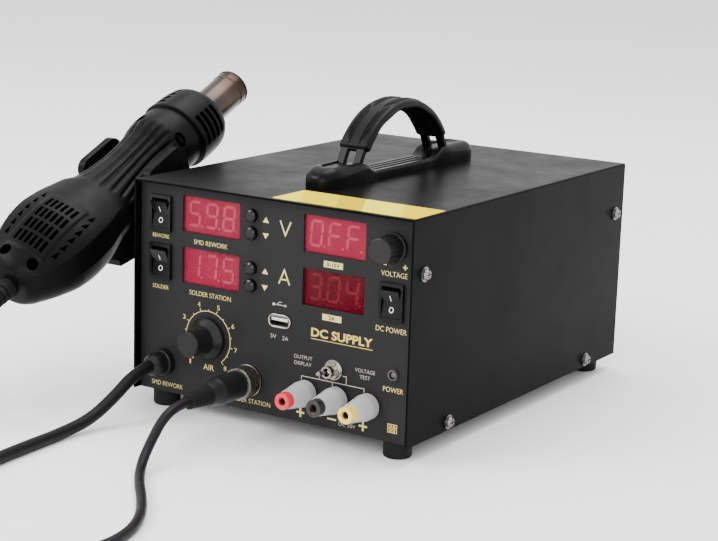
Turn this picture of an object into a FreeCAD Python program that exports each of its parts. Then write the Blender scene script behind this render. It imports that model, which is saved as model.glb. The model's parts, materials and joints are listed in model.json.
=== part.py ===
"""Bench power supply and rework station: a sheet-metal box with a sloping carry strap, four red displays,
three rocker switches, three binding posts, a hot-air gun in a side holder and a soldering iron on its lead.

Frame: +X to the right, +Y to the back, +Z up, seen from the front. Sketches and primitives are drawn from the
front left corner of the cover at floor level; every sub-part's Placement then moves that corner so that the
origin is under the middle of the whole footprint, on the floor."""

import FreeCAD
import Part
import Sketcher
import math
import os
import re

Vector = FreeCAD.Vector

DIMENSIONS = {
    # the box
    "case_wide": (188, "outside width of the cover"),
    "case_deep": (255, "length of the cover, front to back"),
    "cover_high": (124, "height of the cover"),
    "foot_high": (10, "height of a rubber foot"),
    "foot_radius": (8, "radius of a rubber foot"),
    "foot_inset": (14, "foot centre from the cover's sides and ends"),
    "sheet_thick": (1.2, "thickness of the cover and pan"),
    "panel_thick": (1.5, "thickness of the front and rear panels"),
    "panel_inset": (5, "front panel behind the cover's front edge"),
    "rear_inset": (2, "rear panel inside the cover's rear edge"),
    "gap": (0.15, "assembly gap between sheets"),
    "flange_deep": (13, "return flange of the panels and the pan"),
    # screws of the cover
    "screw_radius": (1.5, "shank radius of a case screw"),
    "screw_hole": (1.6, "radius of a hole for a case screw"),
    "screw_high": (103.5, "upper screws above the floor"),
    "screw_low": (15, "lower screws above the floor"),
    "screw_front": (11.5, "upper screws behind the front edge"),
    "screw_back": (43, "lower screws behind the front edge"),
    # front panel rows and columns
    "row_top": (117, "centre of the upper displays"),
    "row_mid": (87.3, "centre of the lower displays"),
    "window_left": (51.6, "centre of the left displays"),
    "window_right": (135.1, "centre of the right displays"),
    "window_wide": (40.2, "width of a display window"),
    "window_high": (20.7, "height of a display window"),
    "switch_left": (16.3, "centre of the left rocker switches"),
    "switch_right": (173, "centre of the right rocker switch"),
    "bezel_wide": (15, "width of a rocker bezel"),
    "bezel_high": (20.7, "height of a rocker bezel"),
    "bezel_proud": (2, "bezel in front of the panel"),
    "well_wide": (11.7, "inside width of a rocker housing"),
    "well_high": (16.9, "inside height of a rocker housing"),
    "rocker_tilt": (9, "rocker tilt either side of level"),
    "button_x": (80.3, "centre of the push buttons"),
    "button_gap": (9.9, "spacing of a pair of push buttons"),
    "button_radius": (3.5, "radius of a push button"),
    "button_proud": (3.3, "push button in front of the panel"),
    "air_x": (50.6, "air knob centre"),
    "air_z": (47, "air knob centre"),
    "volt_x": (173.3, "voltage knob centre"),
    "volt_z": (117, "voltage knob centre"),
    "shaft_radius": (3, "radius of a potentiometer shaft"),
    "bush_radius": (3.6, "radius of a potentiometer bush"),
    "usb_x": (100.4, "charging socket centre"),
    "usb_z": (65.1, "charging socket centre"),
    "jack_row": (27.8, "centre of the posts, the gland and the iron's socket"),
    "gland_x": (19, "gland centre"),
    "socket_x": (80.3, "iron socket centre"),
    "post_x": (119.6, "first binding post"),
    "post_pitch": (20.5, "spacing of the binding posts"),
    "toggle_x": (137, "toggle switch centre"),
    "toggle_z": (43.7, "toggle switch centre"),
    "toggle_tilt": (13, "toggle lever either side of level"),
    "led_x": (175.6, "power lamp centre"),
    "led_z": (47.7, "power lamp centre"),
    "stud_radius": (3.2, "outside radius of a post's stud"),
    "jack_radius": (2, "bore of a post for a 4 mm plug"),
    # carry handle
    "handle_x": (96, "middle of the handle"),
    "handle_front": (41, "front end of the handle base"),
    "handle_back": (209, "rear end of the handle base"),
    "handle_wide": (22, "width of the handle base"),
    "strap_radius": (53, "radius of the strap's arch"),
    "strap_top": (175, "top of the strap's middle layer"),
    "strap_wide": (15, "width of the strap"),
    "grip_wide": (20, "width of the grip"),
    # hot-air gun, in its own frame: z along the gun from its tail, x as the row's
    "gun_x": (-45, "gun axis, left of the cover"),
    "gun_y": (-56, "gun tail in front of the cover"),
    "gun_z": (73.4, "gun tail above the floor"),
    "gun_tilt": (25, "gun slope above level"),
    "gun_long": (193, "length of the gun's shells"),
    "gun_wall": (2.2, "wall of the gun's shells"),
    "nozzle_radius": (11.4, "outside radius of the gun's outlet tube"),
    "nozzle_proud": (36, "outlet tube in front of the shells"),
    # soldering iron, in its own frame: z along the iron from its tail
    "iron_x": (-142, "iron axis"),
    "iron_y": (-190, "iron tail"),
    "iron_z": (8.52, "iron tail above the floor"),
    "iron_tilt": (2.8, "iron slope above level"),
    # leads
    "gun_lead": (7, "diameter of the gun's lead"),
    "iron_lead": (5.5, "diameter of the iron's lead"),
    # footprint centre, from the front left corner of the cover
    "origin_x": (17.6, "footprint centre"),
    "origin_y": (32.314, "footprint centre"),
}

ALIAS = re.compile(r"\b(" + "|".join(sorted(DIMENSIONS, key=len, reverse=True)) + r")\b")
ON_AXIS = {"XY": (0, 0, 1), "XZ": (0, -1, 0), "YZ": (1, 0, 0)}


def make_sheet(document):
    """The spreadsheet that holds every driving dimension."""
    made = document.addObject("Spreadsheet::Sheet", "Dims")
    for row, (name, (number, note)) in enumerate(DIMENSIONS.items(), 1):
        made.set(f"A{row}", name)
        made.set(f"B{row}", str(number))
        made.setAlias(f"B{row}", name)
        made.set(f"C{row}", note)
    document.recompute()
    return made


doc = FreeCAD.newDocument("bench_power_supply")
dims = make_sheet(doc)


def cells(text):
    """An expression in which each driving dimension is named by its cell."""
    return ALIAS.sub(r"Dims.\1", str(text))


def number(text):
    """The value of an expression of the sheet's cells."""
    found = dims.evalExpression(cells(text))
    return float(getattr(found, "Value", found))


def bind(thing, **properties):
    """Binds each property of an object to an expression of the sheet's cells."""
    for name, text in properties.items():
        thing.setExpression(name, cells(text))


def seat(thing, x="0", y="0", z="0", turn=None):
    """Places an object whose geometry is drawn about its own origin; turn is (axis, angle expression)."""
    if turn:
        thing.Placement.Rotation = FreeCAD.Rotation(Vector(*turn[0]), 1)
        thing.setExpression("Placement.Rotation.Angle", cells(turn[1]))
    for letter, text in zip("xyz", (x, y, z)):
        thing.setExpression(f"Placement.Base.{letter}", cells(text))


def to_row(thing, x="0", y="0", z="0", turn=None):
    """Seats a finished sub-part in the row frame, from the cover's front left corner."""
    seat(thing, f"({x}) - origin_x", f"({y}) - origin_y", z, turn)
    return thing


# ---------------------------------------------------------------- sketches

def origin_plane(body, name):
    return next(f for f in body.Origin.OriginFeatures if f.Role == f"{name}_Plane")


def hold_point(sketch, edge, end, x, y):
    """Ties a point of an edge to the sketch's origin with two bound distances."""
    for kind, text in (("DistanceX", x), ("DistanceY", y)):
        at = sketch.addConstraint(Sketcher.Constraint(kind, -1, 1, edge, end, number(text)))
        sketch.renameConstraint(at, f"p{at}")
        sketch.setExpression(f"Constraints.p{at}", cells(text))


def ring_of_lines(sketch, points):
    """A closed ring of straight edges through points given as pairs of expressions."""
    first, count = sketch.GeometryCount, len(points)
    at = [Vector(number(x), number(y), 0) for x, y in points]
    for i in range(count):
        sketch.addGeometry(Part.LineSegment(at[i], at[(i + 1) % count]))
    for i in range(count):
        sketch.addConstraint(Sketcher.Constraint("Coincident", first + i, 2, first + (i + 1) % count, 1))
    for i, (x, y) in enumerate(points):
        hold_point(sketch, first + i, 1, x, y)


def rectangle(x, y, wide, high):
    """The corners of a rectangle round (x, y)."""
    return [(f"{x} + {sx} * ({wide}) / 2", f"{y} + {sy} * ({high}) / 2")
            for sx, sy in ((-1, -1), (1, -1), (1, 1), (-1, 1))]


def draw(sketch, rings):
    """Draws each ring: a list of corners, or (x, y, radius) for a circle."""
    for ring in rings:
        if isinstance(ring, tuple):
            x, y, radius = ring
            centre = Vector(number(x), number(y), 0)
            edge = sketch.addGeometry(Part.Circle(centre, Vector(0, 0, 1), number(radius)))
            hold_point(sketch, edge, 3, x, y)
            at = sketch.addConstraint(Sketcher.Constraint("Radius", edge, number(radius)))
            sketch.renameConstraint(at, f"r{at}")
            sketch.setExpression(f"Constraints.r{at}", cells(radius))
        else:
            ring_of_lines(sketch, ring)


def sketch_on(body, plane, rings, start="0"):
    """A sketch on one of the body's own planes, moved along the row axis to start."""
    sketch = body.newObject("Sketcher::SketchObject", f"{body.Name}_sketch")
    sketch.AttachmentSupport = (origin_plane(body, plane), [""])
    sketch.MapMode = "FlatFace"
    sign = "-1" if plane == "XZ" else "1"
    sketch.setExpression("AttachmentOffset.Base.z", cells(f"{sign} * ({start})"))
    draw(sketch, rings)
    return sketch


def new_body(label):
    body = doc.addObject("PartDesign::Body", label)
    body.Label = label
    if hasattr(body, "AllowCompound"):
        body.AllowCompound = True
    return body


def pad(body, plane, rings, start, length):
    """Adds a prism from start along the positive row axis."""
    feature = body.newObject("PartDesign::Pad", f"{body.Name}_pad")
    feature.Profile = sketch_on(body, plane, rings, start)
    feature.Reversed = plane == "XZ"
    bind(feature, Length=length)
    doc.recompute()
    return feature


def pocket(body, plane, rings, start, length):
    """Cuts a prism from start along the positive row axis, and checks that it did cut."""
    before = body.Shape.Volume
    feature = body.newObject("PartDesign::Pocket", f"{body.Name}_pocket")
    feature.Profile = sketch_on(body, plane, rings, start)
    feature.Reversed = plane != "XZ"
    bind(feature, Length=length)
    doc.recompute()
    if body.Shape.Volume > before - 1e-6:
        raise RuntimeError(f"{feature.Name} cuts nothing")
    return feature


def prism(label, plane, rings, start, length):
    """A body made of one pad, seated in the row frame."""
    body = new_body(label)
    pad(body, plane, rings, start, length)
    to_row(body)
    return body


def turned(label, profiles, seated=True):
    """A body of revolution about its own Z from profiles of (radius, height) expressions."""
    body = new_body(label)
    for profile in profiles:
        feature = body.newObject("PartDesign::Revolution", f"{label}_turn")
        sketch = sketch_on(body, "XZ", [profile])
        feature.Profile = sketch
        feature.ReferenceAxis = (sketch, ["V_Axis"])
        feature.Angle = 360
        doc.recompute()
    if seated:
        to_row(body)
    return body


def soften(body, radius, choose, kind="Fillet"):
    """Rounds or chamfers the edges of the body's tip for which choose(edge) is true."""
    base = body.Tip
    names = [f"Edge{i}" for i, edge in enumerate(base.Shape.Edges, 1) if choose(edge)]
    feature = body.newObject(f"PartDesign::{kind}", f"{body.Name}_{kind.lower()}")
    feature.Base = (base, names)
    bind(feature, **{"Radius" if kind == "Fillet" else "Size": radius})
    doc.recompute()
    return feature


def runs_along(edge, axis):
    """Whether a straight edge is parallel to an axis."""
    if not isinstance(edge.Curve, Part.Line):
        return False
    return abs(edge.Curve.Direction.dot(Vector(*axis))) > 0.999


def block(x, y, z, wide, deep, high, turn=None):
    """A Part box from its low corner."""
    made = doc.addObject("Part::Box", "block")
    bind(made, Length=wide, Width=deep, Height=high)
    seat(made, x, y, z, turn)
    return made


def rod(x, y, z, radius, length, turn=None):
    """A Part cylinder from the centre of its first end, along Z unless turned."""
    made = doc.addObject("Part::Cylinder", "rod")
    bind(made, Radius=radius, Height=length)
    seat(made, x, y, z, turn)
    return made


def cone(x, y, z, low, high, length, turn=None):
    """A Part cone from the centre of its first end."""
    made = doc.addObject("Part::Cone", "cone")
    bind(made, Radius1=low, Radius2=high, Height=length)
    seat(made, x, y, z, turn)
    return made


def cut(base, tools, label="cut"):
    """base with every tool taken away."""
    made = doc.addObject("Part::Cut", label)
    made.Base = base
    made.Tool = tools[0] if len(tools) == 1 else together(tools)
    made.Label = label
    return made


def together(things, label="fused"):
    made = doc.addObject("Part::MultiFuse", label)
    made.Shapes = things
    made.Label = label
    return made


def beside(things, label):
    """A sub-part made of several solids that stay separate."""
    made = doc.addObject("Part::Compound", label)
    made.Links = things
    made.Label = label
    return made


TO_FRONT = ((1, 0, 0), "90")  # local +Z becomes -Y, out of the front panel
TO_BACK = ((1, 0, 0), "-90")
TO_RIGHT = ((0, 1, 0), "90")
TO_LEFT = ((0, 1, 0), "-90")
COVER_TOP = "(foot_high + cover_high)"
PANEL_BACK = "(panel_inset + panel_thick)"
REAR_FRONT = "(case_deep - rear_inset - panel_thick)"
INNER_LEFT = "(sheet_thick + gap)"
INNER_WIDE = "(case_wide - 2 * sheet_thick - 2 * gap)"
POSTS = [f"(post_x + {i} * post_pitch)" for i in range(3)]
SWITCHES = {"rework": ("switch_left", "(row_top - 1.6)"), "solder": ("switch_left", "row_mid"),
            "dc_power": ("switch_right", "row_mid")}
WINDOWS = [(x, z) for x in ("window_left", "window_right") for z in ("row_top", "row_mid")]
BUTTONS = {f"{name}_{way}_button": f"({row} {sign} button_gap / 2)"
           for name, row in (("rework", "row_top"), ("solder", "row_mid"))
           for way, sign in (("up", "+"), ("down", "-"))}


# ---------------------------------------------------------------- case

def make_cover():
    """The folded cover: a top and two sides, open below and at both ends."""
    body = new_body("top_cover")
    inner = "(case_wide - sheet_thick)"
    under = f"({COVER_TOP} - sheet_thick)"
    outline = [("0", "foot_high"), ("sheet_thick", "foot_high"), ("sheet_thick", under), (inner, under),
               (inner, "foot_high"), ("case_wide", "foot_high"), ("case_wide", COVER_TOP), ("0", COVER_TOP)]
    pad(body, "XZ", [outline], "0", "case_deep")
    roof = number(COVER_TOP) - 0.01
    soften(body, "1.1", lambda e: runs_along(e, (0, 1, 0)) and e.BoundBox.ZMin > roof)
    holes = [(y, z, "screw_hole") for y, z in SCREW_SPOTS]
    pocket(body, "YZ", holes, "-1", "case_wide + 2")
    to_row(body)


SCREW_SPOTS = [("screw_front", "screw_high"), ("case_deep - screw_front", "screw_high"),
               ("screw_back", "screw_low"), ("case_deep - screw_back", "screw_low")]


def make_pan():
    """The bottom tray with an upright flange along each side."""
    body = new_body("base_pan")
    floor = "(foot_high + sheet_thick)"
    rim = "(foot_high + flange_deep)"
    inner_left = f"({INNER_LEFT} + sheet_thick)"
    right = f"({INNER_LEFT} + {INNER_WIDE})"
    inner_right = f"({right} - sheet_thick)"
    outline = [(INNER_LEFT, "foot_high"), (right, "foot_high"), (right, rim), (inner_right, rim),
               (inner_right, floor), (inner_left, floor), (inner_left, rim), (INNER_LEFT, rim)]
    pad(body, "XZ", [outline], f"{PANEL_BACK} + gap", f"{REAR_FRONT} - {PANEL_BACK} - 2 * gap")
    pocket(body, "YZ", [(y, z, "screw_hole") for y, z in SCREW_SPOTS[2:]], "-1", "case_wide + 2")
    pocket(body, "XY", [(x, y, "screw_hole") for x, y in foot_spots()], "foot_high - 1", "4")
    to_row(body)


def foot_spots():
    return [(x, y) for x in ("foot_inset", "case_wide - foot_inset")
            for y in ("foot_inset", "case_deep - foot_inset")]


def make_feet():
    """Four rubber feet, dished below, each held by a screw into the pan."""
    body = new_body("rubber_feet")
    pad(body, "XY", [(x, y, "foot_radius") for x, y in foot_spots()], "0", "foot_high")
    soften(body, "1.6", lambda e: e.BoundBox.ZMax < 0.01)
    pocket(body, "XY", [(x, y, "3.6") for x, y in foot_spots()], "-1", "4.5")
    pocket(body, "XY", [(x, y, "screw_hole") for x, y in foot_spots()], "3", "foot_high")
    to_row(body)


def make_screws():
    """Cover screws with washers, two a side at each end, and the four foot screws."""
    pieces = []
    for side, turn, x in (("left", TO_RIGHT, "-3"), ("right", TO_LEFT, "case_wide + 3")):
        sign = "1" if side == "left" else "-1"
        for y, z in SCREW_SPOTS:
            shank = rod(x, y, z, "screw_radius", "9", turn)
            head = cone(x, y, z, "2.4", "3.1", "1.2", turn)
            rim = rod(f"{x} + {sign} * 1.2", y, z, "3.1", "1", turn)
            washer = rod(f"{x} + {sign} * 2.2", y, z, "4.1", "0.8", turn)
            screw = together([shank, head, rim, washer])
            slot = block(f"{x} - 0.7", f"{y} - 0.35", f"{z} - 2.3", "1.4", "0.7", "4.6")
            cross = block(f"{x} - 0.7", f"{y} - 2.3", f"{z} - 0.35", "1.4", "4.6", "0.7")
            pieces.append(cut(screw, [slot, cross]))
    for x, y in foot_spots():
        pieces.append(together([rod(x, y, "1.2", "3.1", "2.3"), rod(x, y, "1.2", "screw_radius", "foot_high + 3")]))
    to_row(beside(pieces, "case_screws"))


def make_front_panel():
    """The front panel with every opening, and a return flange on each side for the cover's screws."""
    body = new_body("front_panel")
    high = "(cover_high - sheet_thick - gap)"
    outer = rectangle("(case_wide / 2)", f"(foot_high + {high} / 2)", INNER_WIDE, high)
    holes = [rectangle(x, z, "window_wide", "window_high") for x, z in WINDOWS]
    holes += [rectangle(x, z, "13.2", "19.2") for x, z in SWITCHES.values()]
    holes += [("button_x", z, "button_radius + 0.35") for z in BUTTONS.values()]
    holes += [("air_x", "air_z", "bush_radius + 0.1"), ("volt_x", "volt_z", "bush_radius + 0.1"),
              ("toggle_x", "toggle_z", "3.5"), ("led_x", "led_z", "2.7"),
              ("gland_x", "jack_row", "6.1"), ("socket_x", "jack_row", "7.6")]
    holes += [(x, "jack_row", "4.6") for x in POSTS]
    holes.append(rectangle("usb_x", "usb_z", "13.5", "6.1"))
    pad(body, "XZ", [outer] + holes, "panel_inset", "panel_thick")
    flange_low, flange_high = "70", f"({COVER_TOP} - 6)"
    for low in (INNER_LEFT, f"({INNER_LEFT} + {INNER_WIDE} - sheet_thick)"):
        strip = [(PANEL_BACK, flange_low), (f"{PANEL_BACK} + flange_deep", flange_low),
                 (f"{PANEL_BACK} + flange_deep", flange_high), (PANEL_BACK, flange_high)]
        pad(body, "YZ", [strip], low, "sheet_thick")
    pocket(body, "YZ", [("screw_front", "screw_high", "screw_hole")], "-1", "case_wide + 2")
    to_row(body)


FAN = {"x": "48", "z": "78", "size": "60", "deep": "15"}
INLET = {"x": "138", "z": "46"}


def make_rear_panel():
    """The rear panel: a slotted grille over the fan, the inlet's cut-out and the return flanges."""
    body = new_body("rear_panel")
    high = "(cover_high - sheet_thick - gap)"
    outer = rectangle("(case_wide / 2)", f"(foot_high + {high} / 2)", INNER_WIDE, high)
    reach = 25.5
    slots = []
    for i in range(-4, 5):
        across = 5.6 * i
        tall = 2 * math.sqrt(reach ** 2 - across ** 2)
        slots.append(rectangle(f"({FAN['x']} + {across})", FAN["z"], "3.2", f"{tall:.3f}"))
    inlet = rectangle(INLET["x"], INLET["z"], "27.6", "19.8")
    pad(body, "XZ", [outer, inlet] + slots, REAR_FRONT, "panel_thick")
    for low in (INNER_LEFT, f"({INNER_LEFT} + {INNER_WIDE} - sheet_thick)"):
        strip = [(f"{REAR_FRONT} - flange_deep", "70"), (REAR_FRONT, "70"),
                 (REAR_FRONT, f"({COVER_TOP} - 6)"), (f"{REAR_FRONT} - flange_deep", f"({COVER_TOP} - 6)")]
        pad(body, "YZ", [strip], low, "sheet_thick")
    pocket(body, "YZ", [("case_deep - screw_front", "screw_high", "screw_hole")], "-1", "case_wide + 2")
    to_row(body)


# ---------------------------------------------------------------- carry handle

ARCH_Y = "((handle_front + handle_back) / 2)"
ARCH_Z = "(strap_top - strap_radius)"
STRAP_SPAN = 70
GRIP_SPAN = 55


def arched(label, wide, thick, span):
    """A band bent to the strap's arch, span degrees either side of its crown."""
    body = new_body(label)
    sketch = sketch_on(body, "XZ", [rectangle("handle_x", "strap_radius", wide, thick)], ARCH_Y)
    sketch.setExpression("AttachmentOffset.Base.y", cells(ARCH_Z))
    feature = body.newObject("PartDesign::Revolution", f"{label}_bend")
    feature.Profile = sketch
    feature.ReferenceAxis = (sketch, ["H_Axis"])
    feature.Midplane = True
    feature.Angle = 2 * span
    doc.recompute()
    return body


def at_arch(degrees, out):
    """The row y and z of a point on the strap's arch, out from its middle layer."""
    reach = f"(strap_radius + {out})"
    across, up = math.sin(math.radians(degrees)), math.cos(math.radians(degrees))
    return f"({ARCH_Y} + {reach} * {across:.5f})", f"({ARCH_Z} + {reach} * {up:.5f})"


def strap_window(y, z, lean):
    """A square window through the strap, square to it."""
    made = doc.addObject("Part::Box", "window")
    made.Length, made.Width, made.Height = 7.4, 6.4, 9
    turn = FreeCAD.Rotation(Vector(1, 0, 0), lean)
    low = Vector(number("handle_x"), number(y), number(z)) + turn.multVec(Vector(-3.7, -3.2, -4.5))
    made.Placement = FreeCAD.Placement(low, turn)
    return made


def make_handle():
    """A moulded base with a block at each end, and a slotted strap through a thick grip."""
    base = new_body("handle_base")
    length = "(handle_back - handle_front)"
    pad(base, "XY", [rectangle("handle_x", ARCH_Y, "18.4", f"{length} - 30")], COVER_TOP, "5.2")
    for end in ("(handle_front + 23)", "(handle_back - 23)"):
        pad(base, "XY", [rectangle("handle_x", end, "handle_wide", "46")], COVER_TOP, "11.5")
    ends = (number("handle_front"), number("handle_back"))
    soften(base, "8.5", lambda e: runs_along(e, (0, 0, 1)) and min(abs(e.BoundBox.YMin - v) for v in ends) < 0.01)
    crown = number(COVER_TOP) + 11.49
    soften(base, "4", lambda e: e.BoundBox.ZMin > crown)
    for end in (f"({ARCH_Y} - 48.6)", f"({ARCH_Y} + 48.6)"):
        pocket(base, "XY", [rectangle("handle_x", end, "16", "9.4")], f"{COVER_TOP} + 3", "20")
    for across in (-5.4, 0, 5.4):
        groove = rectangle(f"(handle_x + {across})", ARCH_Y, "1.6", "70")
        pocket(base, "XY", [groove], f"{COVER_TOP} + 4.5", "2")
    to_row(base)

    strap = arched("strap_band", "strap_wide", "2.4", STRAP_SPAN)
    slots = []
    for sign in (-1, 1):
        y, z = at_arch(60.6 * sign, 0)
        slots.append(strap_window(y, z, -60.6 * sign))
    to_row(cut(strap, slots, "handle_strap"))

    grip = arched("grip_block", "grip_wide", "6", GRIP_SPAN)
    channel = arched("grip_channel", "strap_wide + 0.3", "2.7", GRIP_SPAN + 2)
    to_row(cut(grip, [channel], "handle_grip"))


# ---------------------------------------------------------------- front controls

def make_switches():
    """Three rocker housings and their rockers, each resting with its upper end out."""
    spots = list(SWITCHES.values())
    body = new_body("rocker_housings")
    well = [rectangle(x, z, "well_wide", "well_high") for x, z in spots]
    bezels = [rectangle(x, z, "bezel_wide", "bezel_high") for x, z in spots]
    cans = [rectangle(x, z, "13", "19") for x, z in spots]
    pad(body, "XZ", bezels + well, "panel_inset - bezel_proud", "bezel_proud")
    pad(body, "XZ", cans + well, "panel_inset", "11")
    pad(body, "XZ", cans, "panel_inset + 11", "1.5")
    to_row(body)
    for name, (x, z) in SWITCHES.items():
        rocker = new_body(f"{name}_rocker")
        face = [("-5", "7.6"), ("-2.6", "0"), ("-5", "-7.6"), ("-1", "-7.6"), ("3", "-4"), ("3", "4"), ("-1", "7.6")]
        pad(rocker, "YZ", [face], "-(well_wide - 0.5) / 2", "well_wide - 0.5")
        to_row(rocker, x, "panel_inset + 2", z, ((1, 0, 0), "rocker_tilt"))


def make_displays():
    """Red windows behind the panel, and a digit module behind each."""
    prism("display_filters", "XZ", [rectangle(x, z, "window_wide + 4", "window_high + 4") for x, z in WINDOWS],
          PANEL_BACK, "1.5")
    prism("display_modules", "XZ", [rectangle(x, z, "37.6", "19") for x, z in WINDOWS],
          f"{PANEL_BACK} + 1.7", "8")


def make_buttons():
    """Four push buttons: a cap through the panel, a collar that keeps it in, and a stem to the board."""
    for label, z in BUTTONS.items():
        cap, face = "button_radius", "button_proud"
        profile = [("0", face), ("2.4", face), (cap, f"{face} - 0.8"), (cap, "-panel_thick - 0.2"),
                   ("4.5", "-panel_thick - 0.2"), ("4.5", "-panel_thick - 1.2"), ("1.5", "-panel_thick - 1.2"),
                   ("1.5", "-15"), ("0", "-15")]
        button = turned(label, [profile])
        to_row(button, "button_x", "panel_inset", z, TO_FRONT)


def make_knobs():
    """The air and voltage knobs, each on its own shaft, and the two potentiometers that carry them."""
    shaft, bore = "shaft_radius", "(bush_radius + 0.9)"
    air = [("0", "-7"), (shaft, "-7"), (shaft, "7"), (bore, "7"), (bore, "0.7"), ("12", "0.7"), ("12", "2.6"),
           ("11.2", "3.6"), ("8.6", "6.4"), ("8", "9"), ("7.3", "18.6"), ("6.6", "19.4"), ("0", "19.4")]
    to_row(turned("air_knob", [air]), "air_x", "panel_inset", "air_z", TO_FRONT)
    volt = [("0", "-7"), (shaft, "-7"), (shaft, "7"), (bore, "7"), (bore, "0.6"), ("8.1", "0.6"), ("8.1", "2.4"),
            ("7.5", "3"), ("7", "15"), ("6.2", "15.7"), ("0", "15.7")]
    knob = turned("voltage_knob", [volt])
    flute = knob.newObject("PartDesign::Pocket", "voltage_knob_flute")
    flute.Profile = sketch_on(knob, "XY", [("7.9", "0", "1")], "3")
    flute.Reversed = True
    flute.Length = 14
    doc.recompute()
    flutes = knob.newObject("PartDesign::PolarPattern", "voltage_knob_flutes")
    flutes.Originals = [flute]
    flutes.Axis = (flute.Profile[0], ["N_Axis"])
    flutes.Angle = 360
    flutes.Occurrences = 18
    knob.Tip = flutes
    doc.recompute()
    to_row(knob, "volt_x", "panel_inset", "volt_z", TO_FRONT)
    pots = []
    for x, z in (("air_x", "air_z"), ("volt_x", "volt_z")):
        can = rod(x, PANEL_BACK, z, "8.2", "9", TO_BACK)
        bush = rod(x, "panel_inset - 5.5", z, "bush_radius", "7.5", TO_BACK)
        nut = rod(x, "panel_inset - 0.55", z, "bush_radius + 0.6", "0.55", TO_BACK)
        bore_hole = rod(x, "panel_inset - 6", z, "shaft_radius + 0.06", "13.5", TO_BACK)
        pots.append(cut(together([can, bush, nut]), [bore_hole]))
    to_row(beside(pots, "pot_bodies"))


def make_toggle():
    """The toggle switch: a can behind the panel, a threaded bush with its nut, and a ball-ended lever."""
    can = block("toggle_x - 4", PANEL_BACK, "toggle_z - 6.5", "8", "11", "13")
    bush = rod("toggle_x", f"{PANEL_BACK} + 2", "toggle_z", "3.4", "panel_thick + 9.5", TO_FRONT)
    washer = rod("toggle_x", "panel_inset", "toggle_z", "5.7", "0.7", TO_FRONT)
    nut = doc.addObject("Part::Prism", "toggle_nut")
    nut.Polygon = 6
    bind(nut, Circumradius="5", Height="2.1")
    seat(nut, "toggle_x", "panel_inset - 0.7", "toggle_z", TO_FRONT)
    well = rod("toggle_x", "panel_inset - 1.8", "toggle_z", "2.3", "7", TO_FRONT)
    to_row(cut(together([can, bush, washer, nut]), [well], "toggle_switch"))
    lever = turned("toggle_lever", [[("0", "-1.8"), ("1.6", "-1.4"), ("2.2", "0"), ("1.6", "1.4"), ("1", "2"),
                                     ("1.35", "8.2"), ("0.8", "9.2"), ("0", "9.4")]])
    to_row(lever, "toggle_x", "panel_inset - 4.4", "toggle_z")
    tilt = FreeCAD.Rotation(Vector(0, 0, 1), -number("toggle_tilt"))
    lever.Placement.Rotation = tilt * FreeCAD.Rotation(Vector(1, 0, 0), 90)


def make_posts():
    """Three binding posts: a brass stud through insulators, a coloured core screwed on it and a grey collar."""
    studs, insulators = [], []
    for x in POSTS:
        stud = rod(x, "panel_inset + 17", "jack_row", "stud_radius", "39", TO_FRONT)
        bore = rod(x, "panel_inset - 2", "jack_row", "jack_radius", "30", TO_FRONT)
        studs.append(cut(stud, [bore]))
        front = rod(x, "panel_inset", "jack_row", "6.9", "1.2", TO_FRONT)
        back = rod(x, PANEL_BACK, "jack_row", "6.9", "2.5", TO_BACK)
        spigot = rod(x, PANEL_BACK, "jack_row", "4.5", "panel_thick", TO_FRONT)
        hole = rod(x, "panel_inset + 8", "jack_row", "stud_radius + 0.05", "12", TO_FRONT)
        insulators.append(cut(together([front, back, spigot]), [hole]))
    to_row(beside(studs, "post_studs"))
    to_row(beside(insulators, "post_insulators"))
    run = "(stud_radius + 0.06)"
    core = [(run, "1.5"), ("4.7", "1.5"), ("4.7", "23.6"), ("4.3", "24.2"), ("2.7", "24.2"), ("2.3", "23.8"),
            ("2.3", "22.4"), (run, "22.4")]
    collar = [("4.78", "1.4"), ("7.3", "1.4"), ("7.3", "6.4"), ("6.9", "8.4"), ("5.5", "17"), ("5.3", "18.6"),
              ("4.78", "18.6")]
    for name, x in zip(("red", "black", "yellow"), POSTS):
        to_row(turned(f"{name}_post_core", [core]), x, "panel_inset", "jack_row", TO_FRONT)
        to_row(turned(f"{name}_post_collar", [collar]), x, "panel_inset", "jack_row", TO_FRONT)


def make_usb():
    """The charging socket: a folded steel shell round a contact tongue."""
    shell = new_body("usb_shell")
    outer = rectangle("usb_x", "usb_z", "13.2", "5.8")
    inner = rectangle("usb_x", "usb_z", "12.2", "4.8")
    pad(shell, "XZ", [outer, inner], "panel_inset - 0.8", "13.6")
    pad(shell, "XZ", [outer], "panel_inset + 12.8", "0.6")
    tongue = new_body("usb_tongue")
    pad(tongue, "XZ", [rectangle("usb_x", "(usb_z + 0.9)", "11", "1.8")], "panel_inset + 0.4", "12.2")
    to_row(beside([shell, tongue], "usb_socket"))


def make_lamp():
    """The power lamp: a bezel ring and a domed lens in it."""
    bezel = turned("lamp_bezel", [[("2.1", "-9"), ("2.6", "-9"), ("2.6", "0"), ("3.4", "0"), ("3.4", "0.9"),
                                   ("2.8", "1.9"), ("2.1", "1.9")]], seated=False)
    lens = turned("lamp_lens", [[("0", "-6"), ("2", "-6"), ("2", "0.2"), ("1.6", "1.1"), ("0.9", "1.6"),
                                 ("0", "1.8")]], seated=False)
    to_row(beside([bezel, lens], "power_lamp"), "led_x", "panel_inset", "led_z", TO_FRONT)


def make_gland():
    """The gland that the gun's lead leaves by: panel nut, body and clamping cap."""
    bore = "(gun_lead / 2 + 0.05)"
    profile = [(bore, "-10"), ("6", "-10"), ("6", "0"), ("7.8", "0"), ("7.8", "4.2"), ("7.2", "4.8"),
               ("6.8", "4.8"), ("6.8", "9.6"), ("6.2", "11.6"), ("4.9", "13.4"), (bore, "13.8")]
    to_row(turned("cord_gland", [profile]), "gland_x", "panel_inset", "jack_row", TO_FRONT)


BOOT_RIBS = 6


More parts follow.
